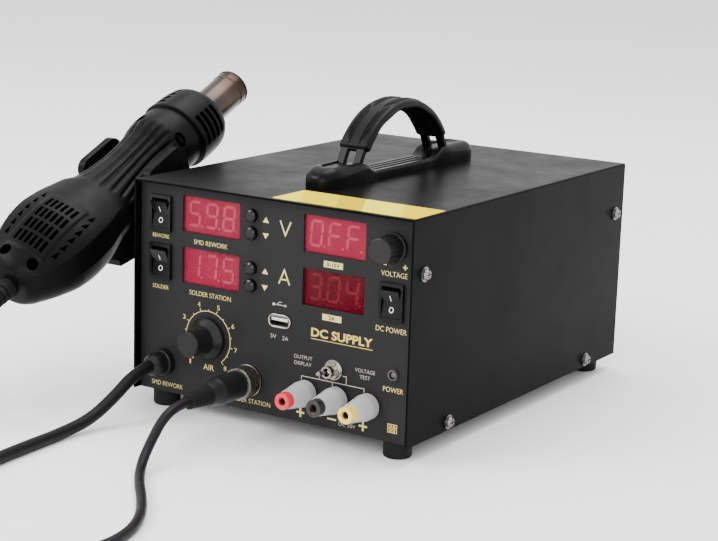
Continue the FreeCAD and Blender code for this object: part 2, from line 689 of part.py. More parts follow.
def ribbed(start, pitch, low, high, bore):
    """The half outline of a ribbed sleeve that tapers from radius low to radius high."""
    points = [(bore, f"{start}")]
    for i in range(BOOT_RIBS):
        radius = low + (high - low) * i / (BOOT_RIBS - 1)
        at = start + pitch * i
        points += [(f"{radius:.3f}", f"{at:.3f}"), (f"{radius:.3f}", f"{at + pitch * 0.55:.3f}"),
                   (f"{radius - 0.8:.3f}", f"{at + pitch * 0.62:.3f}"),
                   (f"{radius - 0.8:.3f}", f"{at + pitch * 0.97:.3f}")]
    points.append((bore, f"{start + pitch * BOOT_RIBS:.3f}"))
    return points


def make_iron_plug():
    """The iron's panel socket, and its plug: coupling ring, body and ribbed boot."""
    socket = [("6.15", "-10"), ("7.5", "-10"), ("7.5", "0"), ("9.3", "0"), ("9.3", "2"), ("7.6", "2.4"),
              ("7.6", "9"), ("6.15", "9")]
    base = [("0", "-12"), ("7.5", "-12"), ("7.5", "-10"), ("0", "-10")]
    to_row(turned("iron_socket", [socket, base]), "socket_x", "panel_inset", "jack_row", TO_FRONT)
    ring = [("7.75", "2.7"), ("8.9", "2.7"), ("9.2", "3.2"), ("9.2", "11"), ("8.7", "12"), ("6.5", "12"),
            ("6.5", "10.2"), ("7.75", "10.2")]
    to_row(turned("plug_ring", [ring]), "socket_x", "panel_inset", "jack_row", TO_FRONT)
    body = [("0", "-6"), ("6", "-6"), ("6", "9.9"), ("6.35", "10"), ("6.35", "12.3"), ("8", "12.3"),
            ("8", "31"), ("7.4", "33"), ("6.3", "38"), ("6", "39"), ("0", "39")]
    to_row(turned("plug_body", [body]), "socket_x", "panel_inset", "jack_row", TO_FRONT)
    boot = ribbed(39, 2.9, 5.6, 4.4, "(iron_lead / 2 + 0.02)")
    to_row(turned("plug_boot", [boot]), "socket_x", "panel_inset", "jack_row", TO_FRONT)


# ---------------------------------------------------------------- inside and rear

def make_fan():
    """A box fan on the rear panel."""
    x, z, size, deep = FAN["x"], FAN["z"], FAN["size"], FAN["deep"]
    body = new_body("fan_frame")
    front = f"({REAR_FRONT} - {deep})"
    pad(body, "XZ", [rectangle(x, z, size, size), (x, z, "28.2")], front, deep)
    pad(body, "XZ", [(x, z, "11")], f"{REAR_FRONT} - 2.5", "2.5")
    for i in range(2):
        wide, high = ("58", "3") if i else ("3", "58")
        pad(body, "XZ", [rectangle(x, z, wide, high)], f"{REAR_FRONT} - 2.5", "2.5")
    to_row(body)
    hub = rod("0", "0", "0", "11", "11")
    blades = []
    for i in range(7):
        blade = block("9", "-0.8", "0.7", "18.3", "1.6", "9.4", ((0, 0, 1), "0"))
        lean = FreeCAD.Rotation(Vector(0, 0, 1), 360 / 7 * i) * FreeCAD.Rotation(Vector(1, 0, 0), 33)
        blade.Placement = FreeCAD.Placement(Vector(0, 0, 0), FreeCAD.Rotation())
        for letter in "xyz":
            blade.setExpression(f"Placement.Base.{letter}", None)
        blade.setExpression("Placement.Rotation.Angle", None)
        blade.Placement = FreeCAD.Placement(lean.multVec(Vector(9, -0.8, -4.7)) + Vector(0, 0, 5.5), lean)
        blades.append(blade)
    to_row(together([hub] + blades, "fan_impeller"), x, f"{REAR_FRONT} - 3", z, TO_FRONT)


def make_inlet():
    """The mains inlet in the rear panel, with its three pins."""
    x, z = INLET["x"], INLET["z"]
    body = new_body("power_inlet")
    recess = rectangle(x, z, "24.4", "16.4")
    pad(body, "XZ", [rectangle(x, z, "31", "23.5"), recess], "case_deep - rear_inset", "2")
    pad(body, "XZ", [rectangle(x, z, "27.4", "19.6"), recess], "case_deep - rear_inset - 16", "16")
    pad(body, "XZ", [rectangle(x, z, "27.4", "19.6")], "case_deep - rear_inset - 19", "3")
    pins = [rectangle(f"({x} + {dx})", f"({z} + {dz})", "2", "4") for dx, dz in ((-7, -2), (0, 2), (7, -2))]
    pad(body, "XZ", pins, "case_deep - rear_inset - 16", "14")
    to_row(body)


def make_inside():
    """The mains transformer on the pan, the main board on its pillars and the board behind the controls."""
    core = new_body("transformer_core")
    outer = rectangle("138", "(foot_high + sheet_thick + 33)", "78", "66")
    windows = [rectangle(f"(138 + {dx})", "(foot_high + sheet_thick + 33)", "13", "40") for dx in (-19.5, 19.5)]
    pad(core, "XZ", [outer] + windows, "120", "36")
    to_row(core)
    coil = new_body("transformer_coil")
    pad(coil, "XY", [rectangle("138", "138", "51", "62"), rectangle("138", "138", "26.4", "36.4")],
        "foot_high + sheet_thick + 14", "38")
    to_row(coil)
    board = new_body("circuit_boards")
    pad(board, "XZ", [rectangle("94", "93", "172", "70")], "panel_inset + 16.5", "1.6")
    pad(board, "XY", [rectangle("50", "120", "80", "130")], "foot_high + sheet_thick + 8", "1.6")
    pillars = [(f"{x}", f"{y}", "3") for x in (15, 85) for y in (60, 180)]
    pad(board, "XY", pillars, "foot_high + sheet_thick", "8")
    cans = [("30", "80", "9"), ("52", "80", "9"), ("70", "150", "6")]
    pad(board, "XY", cans, "foot_high + sheet_thick + 9.6", "28")
    pad(board, "XY", [rectangle("30", "150", "26", "44")], "foot_high + sheet_thick + 9.6", "22")
    to_row(board)


# ---------------------------------------------------------------- hot-air gun

# distance from the tail, half width, half depth, middle below the axis
GUN_SECTIONS = [(0, 14, 12, 0), (6, 20, 17, 0), (22, 30, 22, -0.5), (45, 35, 28, 0.7), (70, 30.5, 25, 2),
                (92, 22.5, 19.5, -0.5), (112, 18, 17, -2.5), (132, 18, 17.5, -3.8), (146, 21, 20.8, -3.8),
                (161, 22, 20.5, -2), (165, 23.5, 22.5, -1.5), (177, 23.5, 22.5, -0.8), (187, 21.5, 20.5, -0.3),
                (193, 18, 17, 0)]
FAN_AT = 43
SPLIT = -6


def gun_seat(thing):
    """Seats a piece that is drawn along the gun's own Z."""
    return to_row(thing, "gun_x", "gun_y", "gun_z", ((1, 0, 0), "gun_tilt - 90"))


def gun_loft(label, sections):
    rings = []
    for along, wide, deep, below in sections:
        ring = doc.addObject("Part::Ellipse", f"{label}_ring")
        ring.MajorRadius, ring.MinorRadius = wide, deep
        ring.Placement.Base = Vector(0, below, along)
        rings.append(ring)
    loft = doc.addObject("Part::Loft", label)
    loft.Sections = rings
    loft.Solid = True
    loft.Ruled = False
    return loft


def gun_hollow():
    """The gun's two shells as one hollow body, open where the tube and the lead leave it."""
    outer = gun_loft("gun_outer", GUN_SECTIONS)
    wall = number("gun_wall")
    tube = number("nozzle_radius") + 2
    inside = [(3.5, 12, 10, 0)]
    inside += [(along, wide - wall, deep - wall, below) for along, wide, deep, below in GUN_SECTIONS[2:-2]]
    inside.append((186, tube, tube, 0))
    cavity = gun_loft("gun_cavity", inside)
    mouth = rod("0", "0", "160", "nozzle_radius + 0.3", "60")
    tail = rod("0", "0", "-5", "6.2", "15")
    return cut(outer, [together([cavity, mouth, tail])])


def vent_cutters():
    """Air slots over the gun's fan: six files of short slots, and wedges set round them like rays."""
    tools = []
    for column in range(6):
        for row in range(4):
            x, along = 4.8 * (column - 2.5), FAN_AT + 10 * (row - 1.5)
            tools.append(block(f"{x - 1.4}", "-40", f"{along - 3.9}", "2.8", "32", "7.8"))
    for side in (-1, 1):
        for lean in (-56, -28, 0, 28, 56):
            turn = FreeCAD.Rotation(Vector(0, 1, 0), (0 if side > 0 else 180) + lean)
            wedge = doc.addObject("Part::Wedge", "ray")
            wedge.Xmin, wedge.Xmax, wedge.X2min, wedge.X2max = 0, 8.5, 0, 8.5
            wedge.Ymin, wedge.Ymax = -40, -5
            wedge.Zmin, wedge.Zmax, wedge.Z2min, wedge.Z2max = -1.5, 1.5, -1.5, 1.5
            reach = 19.5 + 2.5 * abs(lean) / 56
            wedge.Placement = FreeCAD.Placement(Vector(0, 0, FAN_AT) + turn.multVec(Vector(reach, 0, 0)), turn)
            tools.append(wedge)
    return tools


def make_gun():
    """Two moulded shells with a steel outlet tube, an impeller under the vents, and the tail boot."""
    hollow = gun_hollow()
    above = block("-45", "-50", "-5", "90", f"50 + {SPLIT} - 0.06", "220")
    below = block("-45", f"{SPLIT} + 0.06", "-5", "90", "50", "220")
    top = doc.addObject("Part::Common", "gun_top_half")
    top.Base, top.Tool = hollow, above
    bottom = doc.addObject("Part::Common", "gun_bottom_shell")
    bottom.Base, bottom.Tool = hollow, below
    bottom.Label = "gun_bottom_shell"
    holes = [rod(x, "-40", along, "2.7", "34", TO_BACK) for x, along in
             (("-12", "11"), ("12", "11"), ("-13", "152"), ("13", "152"))]
    gun_seat(cut(top, vent_cutters() + holes, "gun_top_shell"))
    gun_seat(bottom)

    inner = rod("0", "0", "gun_long - 40", "nozzle_radius - 0.4", "42")
    tube = rod("0", "0", "gun_long + 0.5", "nozzle_radius", "nozzle_proud - 0.5")
    bore = rod("0", "0", "gun_long - 41", "nozzle_radius - 1.2", "42 + nozzle_proud")
    gun_seat(cut(together([inner, tube]), [bore], "gun_tube"))

    wheel = [rod("0", "-4", f"{FAN_AT}", "20.5", "1.4", TO_BACK)]
    hub = rod("0", "-14", f"{FAN_AT}", "6.5", "16", TO_BACK)
    for i in range(16):
        turn = FreeCAD.Rotation(Vector(0, 1, 0), 360 / 16 * i)
        vane = doc.addObject("Part::Box", "vane")
        vane.Length, vane.Width, vane.Height = 6, 10.5, 0.9
        vane.Placement = FreeCAD.Placement(Vector(0, 0, FAN_AT) + turn.multVec(Vector(14, -13.6, -0.45)), turn)
        wheel.append(vane)
    gun_seat(together([hub] + wheel, "gun_impeller"))

    bore_radius = "(gun_lead / 2 + 0.02)"
    neck = [(bore_radius, "-6"), ("6", "-6"), ("6", "4.6"), ("7.1", "4.9"), ("7.1", "7"), (bore_radius, "7")]
    boot = turned("gun_boot", [neck, ribbed(-6 - 3.6 * BOOT_RIBS, 3.6, 5, 5.9, bore_radius)])
    gun_seat(boot)


def make_holder():
    """The cradle under the gun's neck: two cheeks on a keeled trough, and an arm to a plate on the cover."""
    body = new_body("gun_holder")
    wall = "(0 - gun_x)"
    trough = [("-28", "-14.5"), ("-23", "-14.5"), ("-23", "12"), ("-16", "19.5"), ("16", "19.5"), ("23", "12"),
              ("23", "-14.5"), ("28", "-14.5"), ("28", "14"), ("18", "24.5"), ("-18", "24.5"), ("-28", "14")]
    pad(body, "XY", [trough], "103", "37")
    soften(body, "7", lambda e: runs_along(e, (1, 0, 0)) and e.BoundBox.YMax < -14.4)
    keel = [("-29", "72.5"), ("-33", "72.5"), ("-41", "110"), ("-30", "134"), ("-22", "134"), ("-22", "103"),
            ("-26.5", "86")]
    keel = [(f"0 - ({up})", along) for up, along in keel]
    pad(body, "YZ", [keel], "-15", "30")
    pad(body, "XY", [rectangle(f"({wall} / 2 + 6)", "31", f"{wall} - 12", "15")], "106", "28")
    pad(body, "XY", [rectangle(f"({wall} - 1.5)", "30", "3", "36")], "98", "44")
    soften(body, "6", lambda e: runs_along(e, (1, 0, 0)) and e.BoundBox.XMax > number(wall) - 0.01
           and e.BoundBox.XLength < 3.1)
    gun_seat(body)


# ---------------------------------------------------------------- soldering iron

def iron_piece(label, profile):
    """A turned piece of the iron, laid on the floor along the row's Y."""
    return to_row(turned(label, [profile]), "iron_x", "iron_y", "iron_z", ((1, 0, 0), "iron_tilt - 90"))


def make_iron():
    """Handle, foam grip, locking nut, barrel with its bit, and the boot at the tail."""
    lead = "(iron_lead / 2 + 0.02)"
    iron_piece("iron_handle", [("0", "0"), ("7.6", "0"), ("8.4", "3"), ("8.4", "14"), ("7.9", "18"), ("7.9", "116"),
                               ("0", "116")])
    iron_piece("iron_grip", [("8", "72"), ("9.6", "72"), ("10.2", "73"), ("10.9", "104"), ("13.4", "106"),
                             ("13.8", "108"), ("13.8", "114"), ("13", "116"), ("8", "116")])
    iron_piece("iron_nut", [("0", "116.1"), ("9.4", "116.1"), ("9.8", "117"), ("9.8", "124"), ("7.4", "125.5"),
                            ("6.6", "132"), ("0", "132")])
    iron_piece("iron_tip", [("0", "132.1"), ("4.6", "132.1"), ("4.6", "137"), ("6.2", "137.2"), ("6.2", "149"),
                            ("4.4", "150"), ("4.2", "182"), ("3", "183"), ("2.6", "189"), ("0.5", "203"), ("0", "203")])
    iron_piece("iron_boot", ribbed(-3.8 * BOOT_RIBS, 3.8, 4.2, 5.8, lead))


# ---------------------------------------------------------------- leads

# Route points from the cover's front left corner at floor level, chosen by hand.
GUN_LEAD_OUT = [(19, -8.8, 27.8), (18.9, -22, 26), (17.8, -38, 15.8), (15.5, -56, 6.4), (14, -78, 3.5),
                (15.5, -103, 3.6), (17, -128, 3.5), (20, -150, 3.5), (22.5, -172, 4.5)]
GUN_LEAD_BACK = [(-53.5, -174, 9), (-53, -158, 6.4), (-51, -142, 8), (-48, -129, 17.5), (-45.8, -119, 30),
                 (-45, -109.5, 43), (-45, -96, 54.75), (-45, -81, 61.74)]
IRON_LEAD_OUT = [(80.3, -51.4, 27.8), (80.3, -61, 27.4), (80.3, -71.5, 23.2), (80.4, -80, 14.8), (82.2, -89.5, 6.8),
                 (88, -99.5, 3.1), (98, -112, 2.75), (113, -128, 2.8), (128, -146, 2.75), (139, -166, 2.8),
                 (143, -189, 2.75), (136, -211, 2.8), (119, -228, 2.75), (97, -237, 2.8), (73, -239, 2.75),
                 (50, -234, 2.75), (30, -226, 2.9), (10, -222, 4.8)]
IRON_LEAD_BACK = [(6, -222, 5), (-16, -223.5, 3), (-43, -228, 2.75), (-69, -236.5, 2.8), (-92, -243, 2.75),
                  (-110, -246.5, 3), (-124.5, -245.5, 4), (-136.5, -238.5, 5.2), (-142, -226, 6.7),
                  (-142, -212.8, 7.4)]
GUN_COIL = {"centre": (-15, -176), "ring": 35, "tube": 7.8}
IRON_COIL = {"centre": (10, -250), "ring": 28, "tube": 6.6}


def rounded_path(points):
    """Straight runs joined by tangent arcs, each as large as 0.45 of its shorter run allows."""
    points = [Vector(*p) for p in points]
    edges, radii, start = [], [], points[0]
    for before, corner, after in zip(points, points[1:], points[2:]):
        into, away = (corner - before), (after - corner)
        cutback = 0.45 * min(into.Length, away.Length)
        turn = into.getAngle(away)
        radii.append(cutback / math.tan(turn / 2))
        into.normalize()
        away.normalize()
        enter, leave = corner - into * cutback, corner + away * cutback
        chord = (enter + leave) / 2
        inward = (chord - corner).normalize()
        sagitta = radii[-1] * (1 / math.cos(turn / 2) - 1)
        edges.append(Part.LineSegment(start, enter).toShape())
        edges.append(Part.Arc(enter, corner + inward * sagitta, leave).toShape())
        start = leave
    edges.append(Part.LineSegment(start, points[-1]).toShape())
    return Part.Wire(edges), radii


def lead_tube(name, points, diameter):
    """A round tube along a route; prints its length and arcs, and checks its volume."""
    path, radii = rounded_path(points)
    ring = Part.Circle(Vector(*points[0]), Vector(*points[1]) - Vector(*points[0]), diameter / 2)
    tube = path.makePipeShell([Part.Wire(ring.toShape())], True, False)
    expected = math.pi * diameter ** 2 / 4 * path.Length
    print(f"{name}: {path.Length:.0f} mm, volume {tube.Volume / expected:.3f} of section times length, arcs",
          " ".join(f"{r:.0f}" for r in radii))
    return tube


def lead(label, routes, diameter_cell):
    """The uncoiled stretches of a lead, as one sub-part."""
    made = doc.addObject("Part::Feature", label)
    made.Label = label
    diameter = number(diameter_cell)
    made.Shape = Part.makeCompound([lead_tube(label, route, diameter) for route in routes])
    to_row(made)


def coil(label, spec):
    """The outer shape of a wound coil, lying on the floor."""
    ring = doc.addObject("Part::Torus", label)
    ring.Label = label
    bind(ring, Radius1=spec["ring"], Radius2=spec["tube"])
    to_row(ring, spec["centre"][0], spec["centre"][1], spec["tube"])


def make_leads():
    lead("gun_cord", [GUN_LEAD_OUT, GUN_LEAD_BACK], "gun_lead")
    coil("gun_cord_coil", GUN_COIL)
    lead("iron_cord", [IRON_LEAD_OUT, IRON_LEAD_BACK], "iron_lead")
    coil("iron_cord_coil", IRON_COIL)


# ---------------------------------------------------------------- build and write

def subparts():
    """The finished sub-parts: what nothing else uses."""
    kinds = ("PartDesign::Body", "Part::")
    return [o for o in doc.Objects if o.TypeId.startswith(kinds) and not o.TypeId.startswith("Part::Ellipse")
            and not [u for u in o.InList if not u.TypeId.startswith("Spreadsheet")]]


def write_parts():
    """Checks every object, then writes each sub-part's shape to its own file."""
    doc.recompute()
    broken = [f"{o.Label}: {o.State}" for o in doc.Objects if "Invalid" in o.State or "Error" in o.State]
    if broken:
        raise RuntimeError("failed objects: " + "; ".join(broken))
    os.makedirs("parts", exist_ok=True)
    whole = FreeCAD.BoundBox()
    made = subparts()
    for thing in made:
        shape = thing.Shape
        if shape.isNull() or not shape.isValid() or not shape.Solids:
            raise RuntimeError(f"{thing.Label} has no valid solid")
        if thing.Label not in LEAD_LABELS:
            whole.add(shape.optimalBoundingBox(False))
    for thing in made:
        thing.Shape.exportStep(os.path.join("parts", f"{thing.Label}.step"))
    print(len(made), "sub-parts; footprint centre", round((whole.XMin + whole.XMax) / 2, 3),
          round((whole.YMin + whole.YMax) / 2, 3), "box", [round(v, 2) for v in (
              whole.XMin, whole.XMax, whole.YMin, whole.YMax, whole.ZMin, whole.ZMax)])


LEAD_LABELS = ("gun_cord", "gun_cord_coil", "iron_cord", "iron_cord_coil", "plug_boot", "gun_boot", "iron_boot")


def main():
    for make in (make_cover, make_pan, make_feet, make_screws, make_front_panel, make_rear_panel, make_handle,
                 make_switches, make_displays, make_buttons, make_knobs, make_toggle, make_posts, make_usb,
                 make_lamp, make_gland, make_iron_plug, make_fan, make_inlet, make_inside, make_gun, make_holder,
                 make_iron, make_leads):
        make()
    write_parts()


main()
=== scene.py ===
"""Bench power supply and rework station: finishes, legends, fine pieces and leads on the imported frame."""
import json
import math

import bmesh
import bpy
from mathutils import Matrix, Vector


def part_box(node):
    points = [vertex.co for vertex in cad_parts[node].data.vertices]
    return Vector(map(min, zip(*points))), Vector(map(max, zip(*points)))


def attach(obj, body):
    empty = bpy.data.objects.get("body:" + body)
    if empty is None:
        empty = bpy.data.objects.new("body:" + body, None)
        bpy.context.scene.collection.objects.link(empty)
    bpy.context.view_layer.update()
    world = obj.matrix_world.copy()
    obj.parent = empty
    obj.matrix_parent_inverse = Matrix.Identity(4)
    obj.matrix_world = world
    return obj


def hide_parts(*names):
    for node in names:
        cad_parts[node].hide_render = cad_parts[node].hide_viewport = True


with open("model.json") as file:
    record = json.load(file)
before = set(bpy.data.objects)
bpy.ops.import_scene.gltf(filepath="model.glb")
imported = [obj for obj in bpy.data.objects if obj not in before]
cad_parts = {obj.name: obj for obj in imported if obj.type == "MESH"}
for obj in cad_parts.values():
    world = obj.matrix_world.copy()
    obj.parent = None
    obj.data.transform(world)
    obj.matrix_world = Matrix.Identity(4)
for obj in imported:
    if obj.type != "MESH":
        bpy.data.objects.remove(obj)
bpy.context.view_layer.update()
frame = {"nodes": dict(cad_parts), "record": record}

nodes = frame["nodes"]
MM = 0.001

# The cover's front left corner at floor level: everything below is measured from it, in millimetres.
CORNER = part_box("top_cover")[0]
CORNER.z = 0.0


def at(x, y, z):
    """A point of the row frame from millimetres off the cover's front left corner."""
    return CORNER + Vector((x, y, z)) * MM


# ---- camera

CAMERA_PLACE = (0.646097, -0.822524, 0.309870)
CAMERA_TURN = (32.794, 12.437, -1.8134)     # azimuth, elevation and roll, in degrees
CAMERA_LENS, SENSOR = 91.03, 36             # millimetres


def add_object(name, data):
    """An object with this data, linked into the scene."""
    thing = bpy.data.objects.new(name, data)
    bpy.context.scene.collection.objects.link(thing)
    return thing


def mesh_data(name, mesh):
    """Mesh data written from a bmesh, which is used up."""
    data = bpy.data.meshes.new(name)
    mesh.to_mesh(data)
    mesh.free()
    return data


def aim_camera():
    """A camera off the front right corner, a little above the case, leaning slightly."""
    azimuth, elevation, roll = map(math.radians, CAMERA_TURN)
    data = bpy.data.cameras.new("camera")
    data.lens = CAMERA_LENS
    data.sensor_width = SENSOR
    data.clip_start = 0.05
    data.clip_end = 30
    camera = add_object("camera", data)
    raised = Matrix.Rotation(math.pi / 2 - elevation, 4, "X") @ Matrix.Rotation(-roll, 4, "Z")
    turned = Matrix.Rotation(azimuth, 4, "Z") @ raised
    camera.matrix_world = Matrix.Translation(Vector(CAMERA_PLACE)) @ turned
    bpy.context.scene.camera = camera


aim_camera()


# ---- node materials

class Surface:
    """A principled material whose colour, roughness and bump come from procedural nodes."""

    def __init__(self, name):
        self.material = bpy.data.materials.new(name)
        self.material.use_nodes = True
        self.tree = self.material.node_tree
        self.shader = self.tree.nodes["Principled BSDF"]
        self.place = self.tree.nodes.new("ShaderNodeTexCoord").outputs["Object"]
        self.normal = None

    def node(self, kind, **values):
        """A node with values set on its sockets or on itself."""
        made = self.tree.nodes.new(kind)
        for key, value in values.items():
            if key in made.inputs:
                made.inputs[key].default_value = value
            else:
                setattr(made, key, value)
        return made

    def link(self, out, into):
        self.tree.links.new(out, into)

    def maths(self, operation, *inputs):
        """A maths node's result; each input is a number or a socket."""
        made = self.node("ShaderNodeMath", operation=operation)
        for slot, value in zip(made.inputs, inputs):
            if isinstance(value, (int, float)):
                slot.default_value = value
            else:
                self.link(value, slot)
        return made.outputs[0]

    def axes(self, place):
        """The X, Y and Z of a place, by name."""
        made = self.node("ShaderNodeSeparateXYZ")
        self.link(place, made.inputs[0])
        return made.outputs

    def ramp(self, fac, stops, interpolation="LINEAR"):
        """A colour ramp through stops of (position, colour)."""
        made = self.node("ShaderNodeValToRGB")
        tones = made.color_ramp
        tones.interpolation = interpolation
        while len(tones.elements) < len(stops):
            tones.elements.new(0.5)
        for element, (where, colour) in zip(tones.elements, stops):
            element.position = where
            element.color = (*colour, 1)
        self.link(fac, made.inputs["Fac"])
        return made.outputs["Color"]

    def stretched(self, scale, turn=(0, 0, 0)):
        """The place scaled and turned, for drawn-out noise."""
        mapping = self.node("ShaderNodeMapping")
        mapping.inputs["Scale"].default_value = scale
        mapping.inputs["Rotation"].default_value = turn
        self.link(self.place, mapping.inputs["Vector"])
        return mapping.outputs["Vector"]

    def noise(self, size, detail=3.0, rough=0.5, place=None):
        """Noise whose features are about size metres across."""
        made = self.node("ShaderNodeTexNoise", Scale=1.0 / size, Detail=detail, Roughness=rough)
        self.link(place or self.place, made.inputs["Vector"])
        return made.outputs["Fac"]

    def spread(self, fac, low, high, start=0.3, end=0.7):
        """A factor's start to end mapped to low to high."""
        made = self.node("ShaderNodeMapRange")
        for key, value in zip(("From Min", "From Max", "To Min", "To Max"), (start, end, low, high)):
            made.inputs[key].default_value = value
        self.link(fac, made.inputs["Value"])
        return made.outputs["Result"]

    def mixed(self, fac, one, two):
        """A colour between two, each a colour or a socket."""
        made = self.node("ShaderNodeMix", data_type="RGBA")
        self.link(fac, made.inputs[0])
        for slot, colour in ((6, one), (7, two)):
            if isinstance(colour, tuple):
                made.inputs[slot].default_value = (*colour, 1.0)
            else:
                self.link(colour, made.inputs[slot])
        return made.outputs[2]

    def clouds(self, size, detail, one, two, rough=0.5):
        """Two colours in soft clouds."""
        return self.mixed(self.spread(self.noise(size, detail, rough), 0, 1), one, two)

    def bump(self, fac, depth, strength=1.0):
        made = self.node("ShaderNodeBump", Strength=strength, Distance=depth)
        self.link(fac, made.inputs["Height"])
        if self.normal:
            self.link(self.normal, made.inputs["Normal"])
        self.normal = made.outputs["Normal"]
        self.link(self.normal, self.shader.inputs["Normal"])

    def colour(self, socket):
        self.link(socket, self.shader.inputs["Base Color"])

    def roughness(self, socket):
        self.link(socket, self.shader.inputs["Roughness"])

    def set(self, **values):
        """Sets the shader's own sockets, named with underscores."""
        for key, value in values.items():
            self.shader.inputs[key.replace("_", " ")].default_value = value


def shade(colour, by):
    return tuple(min(1.0, c * by) for c in colour)


def plastic(name, colour, rough, grain=0.0005, depth=0.00003, tone=0.16, scuffs=0.0, level=0.5, **values):
    """Moulded plastic or rubber: cloudy tone, an even moulded grain, rubbed patches, faint scuffs."""
    made = Surface(name)
    tint = made.clouds(0.018, 4.0, shade(colour, 1 - tone), shade(colour, 1 + tone))
    if scuffs:
        lines = made.noise(0.003, 2.0, 0.5, made.stretched((9, 1, 1), (0.3, 0.5, 0.9)))
        tint = made.mixed(made.spread(lines, 0, scuffs, 0.66, 0.74), tint, shade(colour, 2.2))
    made.colour(tint)
    made.roughness(made.spread(made.noise(0.009, 5.0, 0.6), rough - 0.06, rough + 0.08))
    made.bump(made.noise(grain, 2.0, 0.6), depth)
    made.set(Specular_IOR_Level=level, **values)
    return made.material


def metal(name, colour, rough, brush=None, size=0.0004, depth=0.00001, tone=0.1, **values):
    """Plated or turned metal: fine directional brushing, cloudy tone and fingerprints in the roughness."""
    made = Surface(name)
    place = made.stretched(brush) if brush else None
    lines = made.noise(size, 3.0, 0.6, place)
    tint = made.clouds(0.006, 3.0, shade(colour, 1 - tone), shade(colour, 1 + tone))
    made.colour(made.mixed(made.spread(lines, 0, 0.25), tint, shade(colour, 0.7)))
    made.roughness(made.spread(made.noise(0.004, 5.0, 0.65), rough - 0.05, rough + 0.09))
    made.bump(lines, depth)
    made.set(Metallic=1.0, **values)
    return made.material


def powder_coat(name, colour, rough, grain, depth, dust=0.2, level=0.5):
    """Painted sheet steel: orange-peel grain, slow waviness, faint dust and hairline scratches."""
    made = Surface(name)
    tint = made.clouds(0.05, 5.0, shade(colour, 0.9), shade(colour, 1.12), 0.6)
    motes = made.node("ShaderNodeTexVoronoi", Scale=1.0 / 0.0035)
    made.link(made.place, motes.inputs["Vector"])
    tint = made.mixed(made.spread(motes.outputs["Distance"], dust, 0, 0.02, 0.055), tint, shade(colour, 2.6))
    hair = made.noise(0.0028, 1.0, 0.4, made.stretched((1, 22, 3), (0.2, 0.4, 0.6)))
    tint = made.mixed(made.spread(hair, 0, 0.35, 0.745, 0.77), tint, shade(colour, 3.0))
    made.colour(tint)
    made.roughness(made.spread(made.noise(0.03, 6.0, 0.65), rough - 0.05, rough + 0.07))
    made.bump(made.noise(grain, 2.0, 0.5), depth)
    made.bump(made.noise(0.06, 1.0), 0.0002, 0.25)
    made.set(Specular_IOR_Level=level)
    return made.material


def rubber_lead(name, colour, rough):
    """The soft jacket of a lead: a dull bloom, fine extrusion grain and dust."""
    made = Surface(name)
    tint = made.clouds(0.02, 5.0, shade(colour, 0.8), shade(colour, 1.3))
    tint = made.mixed(made.spread(made.noise(0.0015, 6.0, 0.7), 0, 0.25, 0.6, 0.8), tint, shade(colour, 3.0))
    made.colour(tint)
    made.roughness(made.spread(made.noise(0.01, 5.0), rough - 0.05, rough + 0.1))
    made.bump(made.noise(0.0007, 3.0, 0.6), 0.00004)
    made.set(Specular_IOR_Level=0.16)
    return made.material


GUN_TILT = math.radians(25)     # the gun's axis rises this much towards its mouth
GUN_ALONG = Vector((0, math.cos(GUN_TILT), math.sin(GUN_TILT)))


def heated_steel():
    """The outlet tube: brushed steel gone straw and brown with heat, darker towards its mouth."""
    made = Surface("heated_steel")
    low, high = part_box("gun_tube")
    mouth = Vector(((low.x + high.x) / 2, high.y, high.z)).dot(GUN_ALONG)
    dot = made.node("ShaderNodeVectorMath", operation="DOT_PRODUCT")
    dot.inputs[1].default_value = GUN_ALONG
    made.link(made.place, dot.inputs[0])
    wander = made.maths("MULTIPLY_ADD", made.noise(0.006, 4.0), 0.006, dot.outputs["Value"])
    stops = ((0.0, (0.045, 0.042, 0.041)), (0.35, (0.075, 0.056, 0.044)), (0.62, (0.048, 0.031, 0.023)),
             (0.82, (0.020, 0.014, 0.012)), (1.0, (0.046, 0.036, 0.031)))
    made.colour(made.ramp(made.spread(wander, 0, 1, mouth - 0.040, mouth + 0.004), stops))
    fine = made.noise(0.0004, 3.0, 0.6, made.stretched((1, 12, 12), (0.436, 0, 0)))
    made.roughness(made.spread(fine, 0.2, 0.36))
    made.bump(fine, 0.00001)
    made.set(Metallic=1.0)
    return made.material


def red_filter():
    """Tinted acrylic over the digits: deep red and lightly scratched; three windows carry a painted
    reflection as a pale pinkish red, and the lower right window, painted without it, stays darker.
    """
    made = Surface("red_filter")
    place = made.axes(made.place)
    # right and low mark the lower right window, the one left without the painted reflection.
    right = made.spread(place["X"], 0, 1, at(92, 0, 0).x, at(94, 0, 0).x)
    low = made.spread(place["Z"], 1, 0, at(0, 0, 101).z, at(0, 0, 103).z)
    # Painted reflection: the filter's red brightened to pale pink, standing in for the white studio mirrored
    # in it.
    red_and_painted_reflection = made.clouds(0.012, 4.0, (0.29, 0.010, 0.038), (0.37, 0.020, 0.055))
    # The lower right window's deep red, without the painted reflection.
    clear = made.clouds(0.012, 4.0, (0.085, 0.0, 0.005), (0.12, 0.0, 0.008))
    made.colour(made.mixed(made.maths("MULTIPLY", right, low), red_and_painted_reflection, clear))
    made.roughness(made.spread(made.noise(0.005, 6.0, 0.7), 0.1, 0.26))
    made.bump(made.noise(0.0006, 2.0), 0.000004)
    made.set(Alpha=0.5, Coat_Weight=0.05, Coat_Roughness=0.06, Specular_IOR_Level=0.12)
    return made.material


